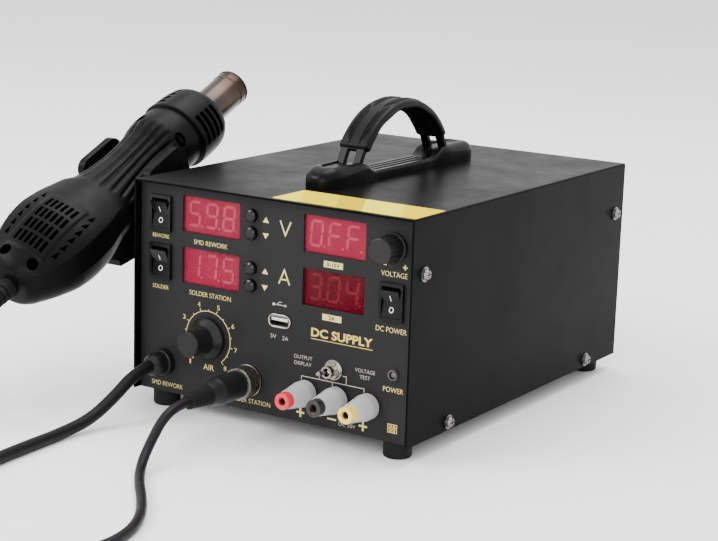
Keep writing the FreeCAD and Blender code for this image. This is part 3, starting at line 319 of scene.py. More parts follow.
def knurled_nickel():
    """The plug's locking ring: satin nickel with fine grips round its axis, painted darker in their grooves
    as shade.
    """
    made = Surface("knurled_nickel")
    low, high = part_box("plug_ring")
    seat = made.node("ShaderNodeVectorMath", operation="SUBTRACT")
    seat.inputs[1].default_value = (low + high) / 2
    made.link(made.place, seat.inputs[0])
    place = made.axes(seat.outputs[0])
    grip_count = 56.0
    turn = made.maths("MULTIPLY", made.maths("ARCTAN2", place["Z"], place["X"]), grip_count)
    ridges_and_groove_shade = made.spread(made.maths("SINE", turn), 0, 1, -0.6, 0.6)
    # Painted shade: the nickel's colour drops in the grooves between the grips and rises on their ridges.
    made.colour(made.mixed(ridges_and_groove_shade, (0.13, 0.122, 0.108), (0.42, 0.40, 0.36)))
    made.roughness(made.spread(made.noise(0.003, 4.0), 0.24, 0.4))
    made.bump(ridges_and_groove_shade, 0.00025)
    made.set(Metallic=1.0)
    return made.material


FINISHES = {     # by material slot
    "black_steel": powder_coat("black_steel", (0.0021, 0.0020, 0.0022), 0.33, 0.0009, 0.00004, level=0.026),
    "panel_black": powder_coat("panel_black", (0.0135, 0.0128, 0.0128), 0.5, 0.0005, 0.00002, 0.1,
                               level=0.12),
    "rubber": plastic("rubber", (0.0035, 0.0035, 0.0037), 0.7, 0.0008, 0.00005, scuffs=0.25, level=0.2),
    "screw_chrome": metal("screw_chrome", (0.19, 0.183, 0.175), 0.26, (1, 1, 6)),
    "handle_plastic": plastic("handle_plastic", (0.0016, 0.0015, 0.0017), 0.3, 0.0006, 0.00003,
                              scuffs=0.3, level=0.1),
    "handle_grip_rubber": plastic("grip_rubber", (0.0022, 0.0021, 0.0023), 0.44, 0.0009, 0.00006,
                                  level=0.12),
    "switch_plastic": plastic("switch_plastic", (0.0028, 0.0028, 0.0031), 0.25, 0.0004, 0.00001,
                              level=0.18),
    "red_filter": red_filter(),
    "button_plastic": plastic("button_plastic", (0.0036, 0.0035, 0.0037), 0.22, 0.0004, 0.00001,
                              level=0.25),
    "knob_plastic": plastic("knob_plastic", (0.0070, 0.0064, 0.0072), 0.33, 0.0006, 0.00003, level=0.25),
    "zinc": metal("zinc", (0.28, 0.275, 0.265), 0.38),
    "nickel": metal("nickel", (0.36, 0.34, 0.305), 0.2, (1, 8, 1)),
    "post_red": plastic("post_red", (0.60, 0.018, 0.045), 0.3, 0.001, 0.00003, 0.1),
    "post_black": plastic("post_black", (0.014, 0.014, 0.015), 0.3, 0.001, 0.00003),
    "post_yellow": plastic("post_yellow", (0.74, 0.55, 0.09), 0.3, 0.001, 0.00003, 0.08),
    "post_grey": plastic("post_grey", (0.40, 0.395, 0.40), 0.3, 0.001, 0.00004, 0.06, 0.1,
                         Subsurface_Weight=0.05),
    "brass": metal("brass", (0.62, 0.43, 0.17), 0.28, (1, 8, 1)),
    "lamp_plastic": plastic("lamp_plastic", (0.035, 0.030, 0.034), 0.12, 0.0006, 0.00001, Coat_Weight=0.5),
    "plug_plastic": plastic("plug_plastic", (0.0065, 0.0061, 0.0063), 0.42, 0.0007, 0.00004, level=0.25),
    "laminations": metal("laminations", (0.20, 0.19, 0.18), 0.5, (1, 1, 40), 0.02, 0.0002),
    "winding": plastic("winding", (0.55, 0.36, 0.08), 0.35, 0.0006, 0.0001),
    "board": plastic("board", (0.02, 0.16, 0.06), 0.35, 0.001, 0.00003),
    "gun_plastic": plastic("gun_plastic", (0.0016, 0.0016, 0.0017), 0.38, 0.0008, 0.00006, scuffs=0.25,
                           level=0.075),
    "heated_steel": heated_steel(),
    "cord": rubber_lead("lead_jacket", (0.0034, 0.0031, 0.0038), 0.5),
}
FINISHES["display_face"] = FINISHES["switch_plastic"]
IRON_JACKET = rubber_lead("iron_lead_jacket", (0.0044, 0.0035, 0.0048), 0.46)
SLOT_OF = {part["node"]: part["material_slot"] for part in frame["record"]["subparts"]}


def paint(thing, material):
    thing.data.materials.clear()
    thing.data.materials.append(material)


for label, thing in nodes.items():
    paint(thing, FINISHES[SLOT_OF[label]])
paint(nodes["plug_ring"], knurled_nickel())
SOFT_EDGES = {"top_cover": 0.35, "front_panel": 0.12, "rear_panel": 0.3, "base_pan": 0.3, "gun_holder": 0.6,
              "fan_frame": 0.4, "rocker_housings": 0.25, "rework_rocker": 0.25, "solder_rocker": 0.25,
              "dc_power_rocker": 0.25}     # bevel widths in millimetres
for label, width in SOFT_EDGES.items():
    edge = nodes[label].modifiers.new("soft_edges", "BEVEL")
    edge.width = width * MM
    edge.segments = 2
    edge.limit_method = "ANGLE"
    edge.angle_limit = math.radians(40)


# ---- leads

def smooth(t):
    """Eases 0 to 1."""
    t = max(0.0, min(1.0, t))
    return t * t * (3 - 2 * t)


def wound(centre, start, sense, stops):
    """Control points of a coil; stops are (turns so far, radius, height), start is in degrees."""
    points = []
    per_turn = 14
    swell = 1 / math.cos(math.pi / per_turn)    # the tube runs inside its control points
    for i in range(round(stops[-1][0] * per_turn) + 1):
        turns = i / per_turn
        before = max((s for s in stops if s[0] <= turns), key=lambda s: s[0])
        after = next((s for s in stops if s[0] > turns), stops[-1])
        share = smooth((turns - before[0]) / max(after[0] - before[0], 1e-9))
        radius = (before[1] + (after[1] - before[1]) * share) * swell
        height = before[2] + (after[2] - before[2]) * share
        angle = math.radians(start + sense * 360 * turns)
        points.append((centre[0] + radius * math.cos(angle), centre[1] + radius * math.sin(angle), height))
    return points


def lead(name, route, diameter, material):
    """One NURBS tube along a route given in millimetres."""
    curve = bpy.data.curves.new(name, "CURVE")
    curve.dimensions = "3D"
    curve.bevel_depth = diameter / 2 * MM
    curve.bevel_resolution = 5
    curve.resolution_u = 8
    curve.use_fill_caps = True
    spline = curve.splines.new("NURBS")
    spline.points.add(len(route) - 1)
    for point, spot in zip(spline.points, route):
        point.co = (*at(*spot), 1.0)
    spline.order_u = 3
    spline.use_endpoint_u = True
    curve.materials.append(material)
    thing = add_object(name, curve)
    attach(thing, "station")
    return thing


# Each lead goes out of its socket, round its coil and back up to its tool.
GUN_OUT = [(19, -8.8, 27.8), (18.9, -22, 26), (17.8, -38, 15.8), (15.5, -56, 6.4), (14, -78, 3.5),
           (15.5, -103, 3.6), (17, -128, 3.5), (20, -150, 3.5)]
GUN_TURNS = wound((-15, -176), 0, -1, [
    (0, 38.4, 3.5), (0.83, 38.4, 3.5), (1.0, 31.3, 3.5), (1.67, 31.3, 3.5), (1.83, 31.6, 10.5),
    (2.5, 31.6, 10.5), (2.67, 38.5, 10.5), (3.5, 38.5, 10.5)])
GUN_BACK = [(-53, -158, 6.4), (-51, -142, 8), (-48, -129, 17.5), (-45.8, -119, 30), (-45, -109.5, 43),
            (-45, -96, 54.75), (-45, -81, 61.74)]
IRON_OUT = [(80.3, -51.4, 27.8), (80.3, -61, 27.4), (80.3, -71.5, 23.2), (80.4, -80, 14.8),
            (82.2, -89.5, 6.8), (88, -99.5, 3.1), (98, -112, 2.75), (113, -128, 2.8), (128, -146, 2.75),
            (139, -166, 2.8), (143, -189, 2.75), (136, -211, 2.8), (119, -228, 2.75), (97, -237, 2.8),
            (73, -239, 2.75), (50, -234, 2.75), (30, -225, 2.8)]
IRON_TURNS = wound((10, -250), 90, 1, [
    (0, 30.7, 2.75), (0.83, 30.7, 2.75), (1.0, 25.2, 2.75), (1.67, 25.2, 2.75), (1.83, 25.3, 8.3),
    (2.5, 25.3, 8.3), (2.67, 30.8, 8.3), (3.6, 30.8, 8.3), (3.72, 28.2, 13.2), (3.86, 28.2, 13.2),
    (4.0, 30.6, 11)])
IRON_BACK = [(-5, -221, 6.5), (-20, -224, 3), (-43, -228, 2.75), (-69, -236.5, 2.8), (-92, -243, 2.75),
             (-110, -246.5, 3), (-124.5, -245.5, 4), (-136.5, -238.5, 5.2), (-142, -226, 6.7),
             (-142, -212.8, 7.4)]

gun_lead = lead("gun_lead", GUN_OUT + GUN_TURNS + GUN_BACK, 7.0, FINISHES["cord"])
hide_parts("gun_cord", "gun_cord_coil")
iron_lead = lead("iron_lead", IRON_OUT + IRON_TURNS + IRON_BACK, 5.5, IRON_JACKET)
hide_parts("iron_cord", "iron_cord_coil")


# ---- mesh helpers

def piece(name, mesh, slot, material=None, body="station"):
    """A finished mesh as a piece riding on a body, in its slot's finish unless another is given."""
    if isinstance(mesh, bmesh.types.BMesh):
        mesh = mesh_data(name, mesh)
    mesh.materials.clear()
    mesh.materials.append(material or FINISHES[slot])
    thing = add_object(name, mesh)
    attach(thing, body)
    return thing


def rectangle(x, z, wide, high):
    """The corners of a rectangle from its middle, half width and half height."""
    return [(x - wide, z - high), (x + wide, z - high), (x + wide, z + high), (x - wide, z + high)]


def ellipse(x, z, wide, high, count):
    """Points round an ellipse from its middle and its two radii."""
    turns = [2 * math.pi * i / count for i in range(count)]
    return [(x + wide * math.cos(t), z + high * math.sin(t)) for t in turns]


PANEL_FACE = (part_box("front_panel")[0].y - CORNER.y) / MM   # how far back the panel's front is
INK_THICK = 0.05
INK = {}


def ink(colour):
    """The printed layer of one colour, made when first asked for."""
    if colour not in INK:
        INK[colour] = bmesh.new()
    return INK[colour]


def print_flat(colour, outline, lift=0.0, frame_at=None):
    """A flat printed shape with corners (x, z) on the front panel, or (u, v) on another frame."""
    mesh = ink(colour)
    seat = frame_at or (lambda x, z, off: at(x, PANEL_FACE - INK_THICK - off, z))
    front = [mesh.verts.new(seat(x, z, lift)) for x, z in outline]
    back = [mesh.verts.new(seat(x, z, lift - INK_THICK * 0.9)) for x, z in outline]
    mesh.faces.new(front)
    for i in range(len(outline)):
        j = (i + 1) % len(outline)
        mesh.faces.new((front[i], back[i], back[j], front[j]))


def print_line(colour, points, width, closed=False, **keys):
    """A printed line of even width through points, its corners mitred."""
    count = len(points)
    spots = [Vector(p) for p in points]
    sides = []
    for i, spot in enumerate(spots):
        runs = []
        if closed or i:
            runs.append((spot - spots[i - 1]).normalized())
        if closed or i < count - 1:
            runs.append((spots[(i + 1) % count] - spot).normalized())
        run = (runs[0] + runs[-1]).normalized()
        across = Vector((-run.y, run.x))
        reach = width / 2 / max(0.35, across.dot(Vector((-runs[0].y, runs[0].x))))
        sides.append((spot + across * reach, spot - across * reach))
    for i in range(count if closed else count - 1):
        (a, b), (c, d) = sides[i], sides[(i + 1) % count]
        print_flat(colour, [tuple(a), tuple(c), tuple(d), tuple(b)], **keys)


def print_text(colour, text, x, z, width, high, weight=-0.008, lift=0.0):
    """Text centred on (x, z), stretched to a width and a cap height."""
    curve = bpy.data.curves.new("legend", "FONT")
    curve.body = text
    curve.offset = weight
    curve.resolution_u = 3
    thing = add_object("legend", curve)
    bpy.context.view_layer.update()
    flat = bpy.data.meshes.new_from_object(thing)
    bpy.data.objects.remove(thing)
    spots = [v.co.copy() for v in flat.vertices]
    low = Vector((min(p.x for p in spots), min(p.y for p in spots)))
    span = Vector((max(p.x for p in spots), max(p.y for p in spots))) - low
    mesh = ink(colour)
    made = [mesh.verts.new(at(x + ((p.x - low.x) / span.x - 0.5) * width, PANEL_FACE - INK_THICK - lift,
                              z + ((p.y - low.y) / span.y - 0.5) * high)) for p in spots]
    for face in flat.polygons:
        mesh.faces.new([made[i] for i in face.vertices])
    bpy.data.meshes.remove(flat)


# ---- printed legends

CREAM, GOLD, PALE, DARK = "cream", "gold", "pale", "dark"
WORDS = {   # text, across, up, width, cap height
    CREAM: [("REWORK", 15.9, 101.9, 12.2, 2.3), ("SOLDER", 15.8, 72.0, 11.6, 2.3),
            ("SMD REWORK", 51.6, 101.7, 23.8, 2.7), ("SOLDER STATION", 51.6, 72.0, 29.4, 2.7),
            ("AIR", 51.3, 29.9, 7.4, 3.3), ("SMD REWORK", 21.3, 14.5, 23.0, 2.7),
            ("SOLDER STATION", 80.3, 15.5, 29.4, 2.7), ("VOLTAGE", 173.6, 102.3, 16.4, 2.8),
            ("DC POWER", 172.9, 71.9, 19.4, 2.9), ("POWER", 175.4, 39.2, 12.7, 2.8)],
    PALE: [("5V", 96.2, 56.0, 3.9, 2.3), ("2A", 104.3, 55.8, 4.0, 2.3), ("OUTPUT", 116.6, 47.2, 12.2, 2.1),
           ("DISPLAY", 116.6, 43.6, 11.4, 2.1), ("VOLTAGE", 157.3, 46.4, 12.8, 2.1),
           ("TEST", 157.3, 42.9, 6.7, 2.1), ("DC 30V", 146.7, 14.1, 10.8, 2.2)],
}


def print_words():
    for colour, words in WORDS.items():
        for word in words:
            print_text(colour, *word)
    print_text(GOLD, "DC SUPPLY", 141.5, 62.6, 40.0, 5.0, 0.03)
    print_line(GOLD, [(121.5, 58.9), (161.5, 58.9)], 0.35)
    for x, z, text, width in ((134.85, 101.7, "0-15V", 8.8), (134.8, 72.2, "2A", 4.2)):
        print_flat(CREAM, rectangle(x, z, 6.2, 1.75))
        print_text(DARK, text, x, z, width, 2.3, 0.03, lift=0.04)


ARROW_X = 89.6
ARROWS = ((120.6, 1), (111.6, -1), (91.7, 1), (82.3, -1))   # height of each arrow, and which way it points
PLUSES = ((115.7, 15.5, 2.6, 1.15), (157.0, 15.5, 2.7, 1.15), (180.2, 106.9, 1.45, 0.7))
UNIT_LINES = [  # colour, width, points: the V and A, the minus signs, the brackets, the charging icon
    (CREAM, 0.85, [(99.2, 121.6), (102.8, 113.7), (106.4, 121.6)]),
    (CREAM, 0.85, [(99.1, 86.3), (102.7, 94.3), (106.3, 86.3)]),
    (CREAM, 0.75, [(100.3, 88.9), (105.1, 88.9)]),
    (CREAM, 1.0, [(133.7, 15.6), (139.5, 15.6)]),
    (CREAM, 0.7, [(166.5, 107), (168.5, 107)]),
    (PALE, 0.42, [(115.8, 34.6), (115.8, 36.6), (157.0, 36.6), (157.0, 34.6)]),
    (PALE, 0.42, [(136.4, 36.6), (136.4, 34.4)]),
    (PALE, 0.42, [(130.6, 41.2), (127.8, 41.2), (127.8, 36.6)]),
    (PALE, 0.42, [(143.0, 41.2), (145.4, 41.2), (145.4, 36.6)]),
    (PALE, 0.45, [(96.4, 74.2), (104.0, 74.2)]),
    (PALE, 0.4, [(98.2, 74.3), (99.8, 75.8), (101.4, 75.8)]),
]


def print_marks():
    """Arrows by the buttons, lines, plus signs, the charging icon's ends and a small grid in the corner."""
    for z, up in ARROWS:
        arrow = [(ARROW_X - 2.1, z - 1.5 * up), (ARROW_X + 2.1, z - 1.5 * up), (ARROW_X, z + 1.6 * up)]
        print_flat(CREAM, arrow[::up])
    for colour, width, points in UNIT_LINES:
        print_line(colour, points, width)
    for x, z, arm, thick in PLUSES:
        print_line(CREAM, [(x - arm, z), (x + arm, z)], thick)
        print_line(CREAM, [(x, z - arm), (x, z + arm)], thick, lift=0.01)
    print_flat(PALE, [(103.4, 73.4), (105.0, 74.2), (103.4, 75.0)])
    print_flat(PALE, ellipse(96.0, 74.2, 0.9, 0.9, 12), lift=0.01)
    for row in range(2):
        for column in range(3):
            cell = rectangle(173.6 + 2.1 * column, 19.2 - 2.7 * row, 0.7, 0.9)
            print_line(GOLD, cell, 0.5, closed=True)


def print_dial():
    """The air dial: an arc with long and short ticks and the numbers 1 to 8."""
    centre, radius = (50.65, 47.0), 15.75
    first, step = 231.0, 40.4       # degrees: where the 1 stands, and from one number to the next

    def spot(angle, reach):
        turn = math.radians(angle)
        return centre[0] + reach * math.cos(turn), centre[1] + reach * math.sin(turn)

    print_line(CREAM, [spot(first - step * 7 * i / 60, radius) for i in range(61)], 0.42)
    for i in range(15):
        angle = first - step * i / 2
        tick = 1.1 if i % 2 else 1.9
        print_line(CREAM, [spot(angle, radius - 0.2), spot(angle, radius + tick)], 0.42)
    for i in range(8):
        x, z = spot(first - step * i, radius + 4.3)
        print_text(CREAM, str(i + 1), x, z, 1.0 if i == 0 else 1.9, 2.7)


print_words()
print_marks()
print_dial()


def printed(name, colour, rough=0.45):
    """Screen-print ink: slightly uneven cover with worn specks."""
    made = Surface(name)
    speck = made.spread(made.noise(0.0009, 5.0, 0.7), 0, 1, 0.35, 0.62)
    made.colour(made.mixed(speck, shade(colour, 0.82), colour))
    made.roughness(made.spread(made.noise(0.002, 3.0), rough - 0.08, rough + 0.1))
    made.bump(made.noise(0.0005, 2.0), 0.00001)
    return made.material


INKS = {CREAM: printed("ink_cream", (0.62, 0.53, 0.19)), GOLD: printed("ink_gold", (0.60, 0.43, 0.10)),
        PALE: printed("ink_pale", (0.40, 0.38, 0.33)), DARK: printed("ink_dark", (0.03, 0.028, 0.02))}
for colour, mesh in INK.items():
    for face in mesh.faces:
        face.normal_update()
        if face.normal.y > 0.5:
            face.normal_flip()
    piece(f"legends_{colour}", mesh, "panel_black", INKS[colour])


# ---- surfaces swept from rings

def add_rings(mesh, rings, looped=False):
    """Adds a tube through rings of points in millimetres, closed by end faces or looped on itself."""
    made = [[mesh.verts.new(at(*p)) for p in ring] for ring in rings]
    count = len(rings[0])
    for one, two in zip(made, made[1:] + made[:1] if looped else made[1:]):
        for i in range(count):
            j = (i + 1) % count
            mesh.faces.new((one[i], one[j], two[j], two[i]))
    if not looped:
        mesh.faces.new(made[0])
        mesh.faces.new(made[-1])


def settled(mesh, smoothed=False):
    """The mesh with its faces looking outwards, and its four-sided faces smooth if asked for."""
    bmesh.ops.recalc_face_normals(mesh, faces=mesh.faces)
    for face in mesh.faces:
        face.smooth = smoothed and len(face.verts) == 4
    return mesh


def skin(rings):
    """A closed smooth mesh through rings."""
    mesh = bmesh.new()
    add_rings(mesh, rings)
    return settled(mesh, True)


def cutter(mesh, name):
    """A hidden helper object for a boolean cut."""
    bmesh.ops.recalc_face_normals(mesh, faces=mesh.faces)
    return add_object(name, mesh_data(name, mesh))


def carved(mesh, cutters):
    """The mesh with each cutter taken away from it."""
    thing = cutter(mesh, "work")
    for tool in cutters:
        step = thing.modifiers.new("cut", "BOOLEAN")
        step.operation = "DIFFERENCE"
        step.solver = "EXACT"
        step.object = tool
    bpy.context.view_layer.update()
    seen = thing.evaluated_get(bpy.context.evaluated_depsgraph_get())
    made = bpy.data.meshes.new_from_object(seen)
    for used in (thing, *cutters):
        bpy.data.objects.remove(used)
    made.polygons.foreach_set("use_smooth", [True] * len(made.polygons))
    made.set_sharp_from_angle(angle=math.radians(38))
    return made


def tangent(before, after):
    """The slope through a row from the slopes on its two sides; past the table's ends a side is None."""
    if before is None:
        return after
    if after is None:
        return before
    return 2 * before * after / (before + after) if before * after > 0 else 0.0


def eased(table, where):
    """Monotone smooth interpolation of a table of rows (where, value, value...)."""
    if where <= table[0][0]:
        return table[0][1:]
    if where >= table[-1][0]:
        return table[-1][1:]
    k = max(i for i in range(len(table) - 1) if table[i][0] <= where)
    h = table[k + 1][0] - table[k][0]
    t = (where - table[k][0]) / h
    values = []
    for c in range(1, len(table[0])):
        def slope(i):
            if i < 0 or i >= len(table) - 1:
                return None
            return (table[i + 1][c] - table[i][c]) / (table[i + 1][0] - table[i][0])

        m0, m1 = tangent(slope(k - 1), slope(k)), tangent(slope(k), slope(k + 1))
        a, b = table[k][c], table[k + 1][c]
        values.append((2 * t**3 - 3 * t**2 + 1) * a + (t**3 - 2 * t**2 + t) * h * m0
                      + (3 * t**2 - 2 * t**3) * b + (t**3 - t**2) * h * m1)
    return values


def band(value, low, high, soft):
    """1 between low and high, easing to 0 over soft outside them."""
    return smooth((value - low) / soft + 1) * smooth((high - value) / soft + 1)


# ---- hot-air gun

GUN_TAIL = Vector((-45, -56, 73.4))
GUN_UP = Vector((0, -math.sin(GUN_TILT), math.cos(GUN_TILT)))
GUN_SHAPE = [  # along, half width, half depth, centre above the axis, squareness
    (0, 11.5, 10.5, 0, 2.0), (0.5, 13.6, 12, 0, 2.0), (2.5, 16.4, 14.2, 0, 2.0), (6, 19.6, 16.6, 0.1, 2.1),
    (13, 23.6, 18.8, 0.5, 2.25), (22, 27.6, 21, 0.9, 2.35), (34, 30.8, 23.6, 0.8, 2.4),
    (45, 31.6, 24.8, 0.6, 2.4), (57, 30.6, 24.4, 0, 2.35), (70, 27.8, 22.8, -0.4, 2.2),
    (82, 24.4, 20.8, 0.1, 2.05), (92, 21.8, 19.1, 0.8, 2.0), (102, 19.7, 17.9, 1.7, 2.0),
    (112, 18.2, 17.0, 2.6, 2.0), (122, 17.7, 17.0, 3.3, 2.0), (132, 18.3, 17.8, 3.7, 2.0),
    (140, 20.1, 19.6, 3.7, 2.0), (147, 21.4, 20.8, 3.4, 2.0), (155, 22, 21, 2.6, 2.0),
    (162.4, 21.9, 20.7, 1.9, 2.0), (163.0, 22.0, 20.8, 1.8, 2.0), (163.4, 23.4, 22.3, 1.6, 2.0),
    (164.4, 23.8, 22.8, 1.5, 2.0), (177, 23.5, 22.5, 0.8, 2.0), (186, 22.5, 21.6, 0.4, 2.0),
    (190, 20.8, 19.9, 0.2, 2.0), (192.2, 18.6, 17.7, 0, 2.0), (193, 15.6, 15, 0, 2.0)]
GUN_LONG = 193          # the shells' length
GUN_SEAM = 6.0          # the shells part this far above the axis
GUN_CREASE = 0.83       # the bulb's flat crown breaks into its side walls this far out, of its half width
CREASE_HIGH = 0.62      # and this high, of the crown's height
GUN_ROLL = math.radians(22)     # the gun lies turned about its axis, its top towards the case
GUN_SCREWS = ((-9.5, 9.5, 3.3, 5.0), (9.5, 9.5, 3.3, 5.0),      # across, along, a well's radius and floor
              (-15, 148, 3.4, 8.0), (15, 148, 3.4, 8.0))


def in_gun(x, up, along):
    """A point of the gun, rolled about its section's middle, from millimetres across, above and along."""
    rise = eased(GUN_SHAPE, along)[2]
    across = x * math.cos(GUN_ROLL) + (up - rise) * math.sin(GUN_ROLL)
    above = rise + (up - rise) * math.cos(GUN_ROLL) - x * math.sin(GUN_ROLL)
    return tuple(GUN_TAIL + Vector((across, 0, 0)) + GUN_UP * above + GUN_ALONG * along)


def crown_height(lean):
    """How high the bulb's crown stands, 1 in the middle and 0 at the seam, lean being how far out."""
    if lean < GUN_CREASE:
        return CREASE_HIGH + (1 - CREASE_HIGH) * (1 - (lean / GUN_CREASE) ** 2)
    return CREASE_HIGH * (1 - lean) / (1 - GUN_CREASE)


def top_relief(along, x, degrees, bulb):
    """How far the upper shell stands out: flutes along the grip, and a raised field round the vents."""
    off = abs(degrees - 90)
    reach = band(along, 84 + 0.16 * off, 141 - 0.05 * off, 7)
    lanes = 0.5 - 0.5 * math.cos(math.radians(degrees - 90) * 22)
    flutes = 1.15 * reach * band(degrees, 24, 156, 7) * lanes ** 2.2
    return 0.6 * bulb * band(abs(x), 0, 12.4, 1.0) * band(along, 14, 56, 1.2) - flutes


def low_relief(along, angle, bulb):
    """How far the lower shell stands out: inside the upper one's edge, with shallow ribs on the grip."""
    ribs = band(along, 96, 128, 8) * band(math.degrees(abs(angle - 1.5 * math.pi)), 62, 88, 6)
    return -0.35 - 1.35 * bulb - 0.45 * ribs * (0.5 + 0.5 * math.cos((along - 96) * 2 * math.pi / 4.2))


def gun_ring(along, tops, lows, inset=0.0, plain=False):
    """One ring of the gun's skin, from the right seam over the top to the left seam and back underneath."""
    wide, deep, rise, square = eased(GUN_SHAPE, along)
    wide, deep = wide - inset, deep - inset
    seam = math.asin(min(0.96, max(0.0, (GUN_SEAM - rise) / deep) ** (square / 2)))
    bulb = band(along, 9, 76, 9)
    angles = [(seam + (math.pi - 2 * seam) * i / tops, "top") for i in range(tops + 1)]
    angles += [(math.pi - seam + (math.pi + 2 * seam) * i / lows, "low") for i in range(lows + 1)]
    points = []
    for angle, half in angles:
        c, s = math.cos(angle), math.sin(angle)
        x = wide * math.copysign(abs(c) ** (2 / square), c)
        up = rise + deep * math.copysign(abs(s) ** (2 / square), s)
        if half == "top":
            across = math.cos(math.pi * (angle - seam) / (math.pi - 2 * seam))
            edge = wide * abs(math.cos(seam)) ** (2 / square)
            crest = GUN_SEAM + (rise + deep - GUN_SEAM) * crown_height(abs(across))
            x += bulb * (edge * across - x)
            up += bulb * (crest - up)
        push = 0.0
        if not plain and half == "top":
            push = top_relief(along, x, math.degrees(angle), bulb)
        elif not plain:
            push = low_relief(along, angle, bulb)
        n = Vector((c / wide, s / deep)).normalized()
        points.append(in_gun(x + n.x * push, up + n.y * push, along))
    return points


def gun_hoop(radius, along, sides):
    """A circle of points round the gun's axis."""
    return [in_gun(x, up, along) for x, up in ellipse(0, 0, radius, radius, sides)]


def gun_prism(mesh, outline, low, high):
    """Adds a prism on an outline of points (across, along) of the gun."""
    add_rings(mesh, [[in_gun(x, up, along) for x, along in outline] for up in (low, high)])


def gun_vents():
    """Rows of slots through the bulb's crown, with a row of wedges on either side of them."""
    mesh = bmesh.new()
    for row in range(4):
        start = 16.8 + 9.4 * row
        for column in range(6):
            x = (column - 2.5) * 3.6
            gun_prism(mesh, rectangle(x, start + 3.7, 1.05, 3.7), 14, 34)
    for side in (-1, 1):
        for i in range(6):
            start = 19 + 6.6 * i
            near = 14.6 + 1.8 * math.sin(math.pi * (i + 0.6) / 6.2)
            wedge = [(near, start), (near + 3.3, start + 0.8), (near + 2.3, start + 5.8)]
            gun_prism(mesh, [(side * x, along) for x, along in wedge], 9.5, 33)
    return cutter(mesh, "vents")


def gun_ring_slots():
    """Four slots round each side of the collar."""
    mesh = bmesh.new()
    for side in (1, -1):
        for i in range(4):
            start = 167.2 + 5.0 * i
            corners = ((18.5, start), (27, start), (27, start + 3.1), (18.5, start + 3.1))
            turns = [math.radians(8 + 6.5 * j) for j in range(9)]
            add_rings(mesh, [[in_gun(side * r * math.cos(t), 1 + r * math.sin(t), along)
                              for r, along in corners] for t in turns])
    return cutter(mesh, "ring_slots")


def gun_cutters():
    """The hollow, the mouth and tail holes, the vents, the screw wells and the collar's ring slots."""
    inside = [4 + 181 * i / 40 for i in range(41)]
    hollow = skin([gun_ring(a, 14, 16, 2.3 + (4.5 if a < 8 else 0), True) for a in inside])
    holes = bmesh.new()
    for radius, start, end in ((11.9, 170, 200), (6.3, -6, 12)):
        add_rings(holes, [gun_hoop(radius, along, 48) for along in (start, end)])
    wells = bmesh.new()
    for x, along, radius, low in GUN_SCREWS:
        gun_prism(wells, ellipse(x, along, radius, radius, 28), low, 34)
    return [cutter(hollow, "hollow"), cutter(holes, "holes"), gun_vents(), cutter(wells, "wells"),
            gun_ring_slots()]


def make_gun():
    """The gun's moulded shells, the screw heads in their wells, and the beads rolled into its tube."""
    stations = sorted({round(GUN_LONG * i / 230, 3) for i in range(231)} | {row[0] for row in GUN_SHAPE})
    outer = skin([gun_ring(a, 120, 70) for a in stations])
    shell = piece("gun_shells", carved(outer, gun_cutters()), "gun_plastic")
    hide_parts("gun_top_shell", "gun_bottom_shell")

    heads = bmesh.new()
    domed = ((2.6, 0), (2.6, 1.0), (2.1, 1.6), (0.9, 1.75))     # radius, height over the seat
    for x, along, _, low in GUN_SCREWS:
        add_rings(heads, [[in_gun(a, low + 0.2 + high, b) for a, b in ellipse(x, along, radius, radius, 20)]
                          for radius, high in domed])
    piece("gun_screws", settled(heads), "screw_chrome", FINISHES["zinc"])

    beads = bmesh.new()
    for start, radius in ((221.5, 11.42), (227.4, 11.5)):
        profile = ((-0.35, 0), (0.25, 0.35), (0.25, 0.9), (-0.35, 1.25))
        add_rings(beads, [gun_hoop(radius + out, start + along, 64) for out, along in profile])
    piece("gun_tube_beads", settled(beads, True), "heated_steel")


make_gun()


# ---- carry handle

DECK = 134.0                    # the cover's top
HANDLE_X = 96.0
HANDLE_ENDS = (41.0, 209.0)
ARCH_Y, ARCH_Z = 125.0, 122.0   # the centre the strap is bent round
NOSE = 16.0                     # the shoes round off over this length
FOOT_SHAPE = [  # in from the nearer end, half width, height, corner radius
    (0, 11, 10.2, 5.4), (3, 11, 10.9, 5.6), (12, 11, 11.6, 5.8), (24, 11, 11.6, 5.2), (34, 11, 11.5, 4.2),
    (40, 10.6, 10.8, 3.2), (48, 9.6, 6.6, 2.2), (53, 9.2, 5.2, 1.6), (84, 9.2, 5.2, 1.6)]


def foot_ring(y):
    """A ring of the handle's foot: rounded shoes at its ends, a low grooved rail between them."""
    inward = min(y - HANDLE_ENDS[0], HANDLE_ENDS[1] - y)
    nose = math.sqrt(max(0.0, 1 - (1 - min(inward, NOSE) / NOSE) ** 2.2))
    wide, high, radius = eased(FOOT_SHAPE, inward)
    wide = 2.2 + (wide - 2.2) * nose
    high *= 0.5 + 0.5 * min(1.0, nose * 1.05)
    radius = min(radius * (0.6 + 0.4 * nose), wide * 0.9)
    flat = wide - radius

    def corner(side, first):
        turns = [first - i * math.pi / 24 for i in range(13)]
        return [(side * flat + radius * math.cos(t), high - radius + radius * math.sin(t)) for t in turns]

    rail = band(inward, 56, 90, 2)
    top = []
    for i in range(1, 80):
        x = -flat + 2 * flat * i / 80
        groove = 0.7 * rail * (0.5 + 0.5 * math.cos(math.pi * x / 2.1)) ** 2 * band(x, -6.5, 6.5, 0.8)
        dish = max(0.0, 1 - (x / 8.2) ** 2 - ((inward - 27) / 17.5) ** 2)
        top.append((x, high - groove - 1.1 * smooth(dish * 3.2)))
    points = [(-wide, 0.0), (-wide, 0.5), *corner(-1, math.pi), *top, *corner(1, math.pi / 2),
              (wide, 0.5), (wide, 0.0)]
    return [(HANDLE_X + x, y, DECK + z + 0.05) for x, z in points]


def arch_ring(section, degrees):
    """A ring of the arch, so far from its top, through the points (across, radius) of a section."""
    turn = math.radians(degrees)
    return [(HANDLE_X + x, ARCH_Y + r * math.sin(turn), ARCH_Z + r * math.cos(turn)) for x, r in section]


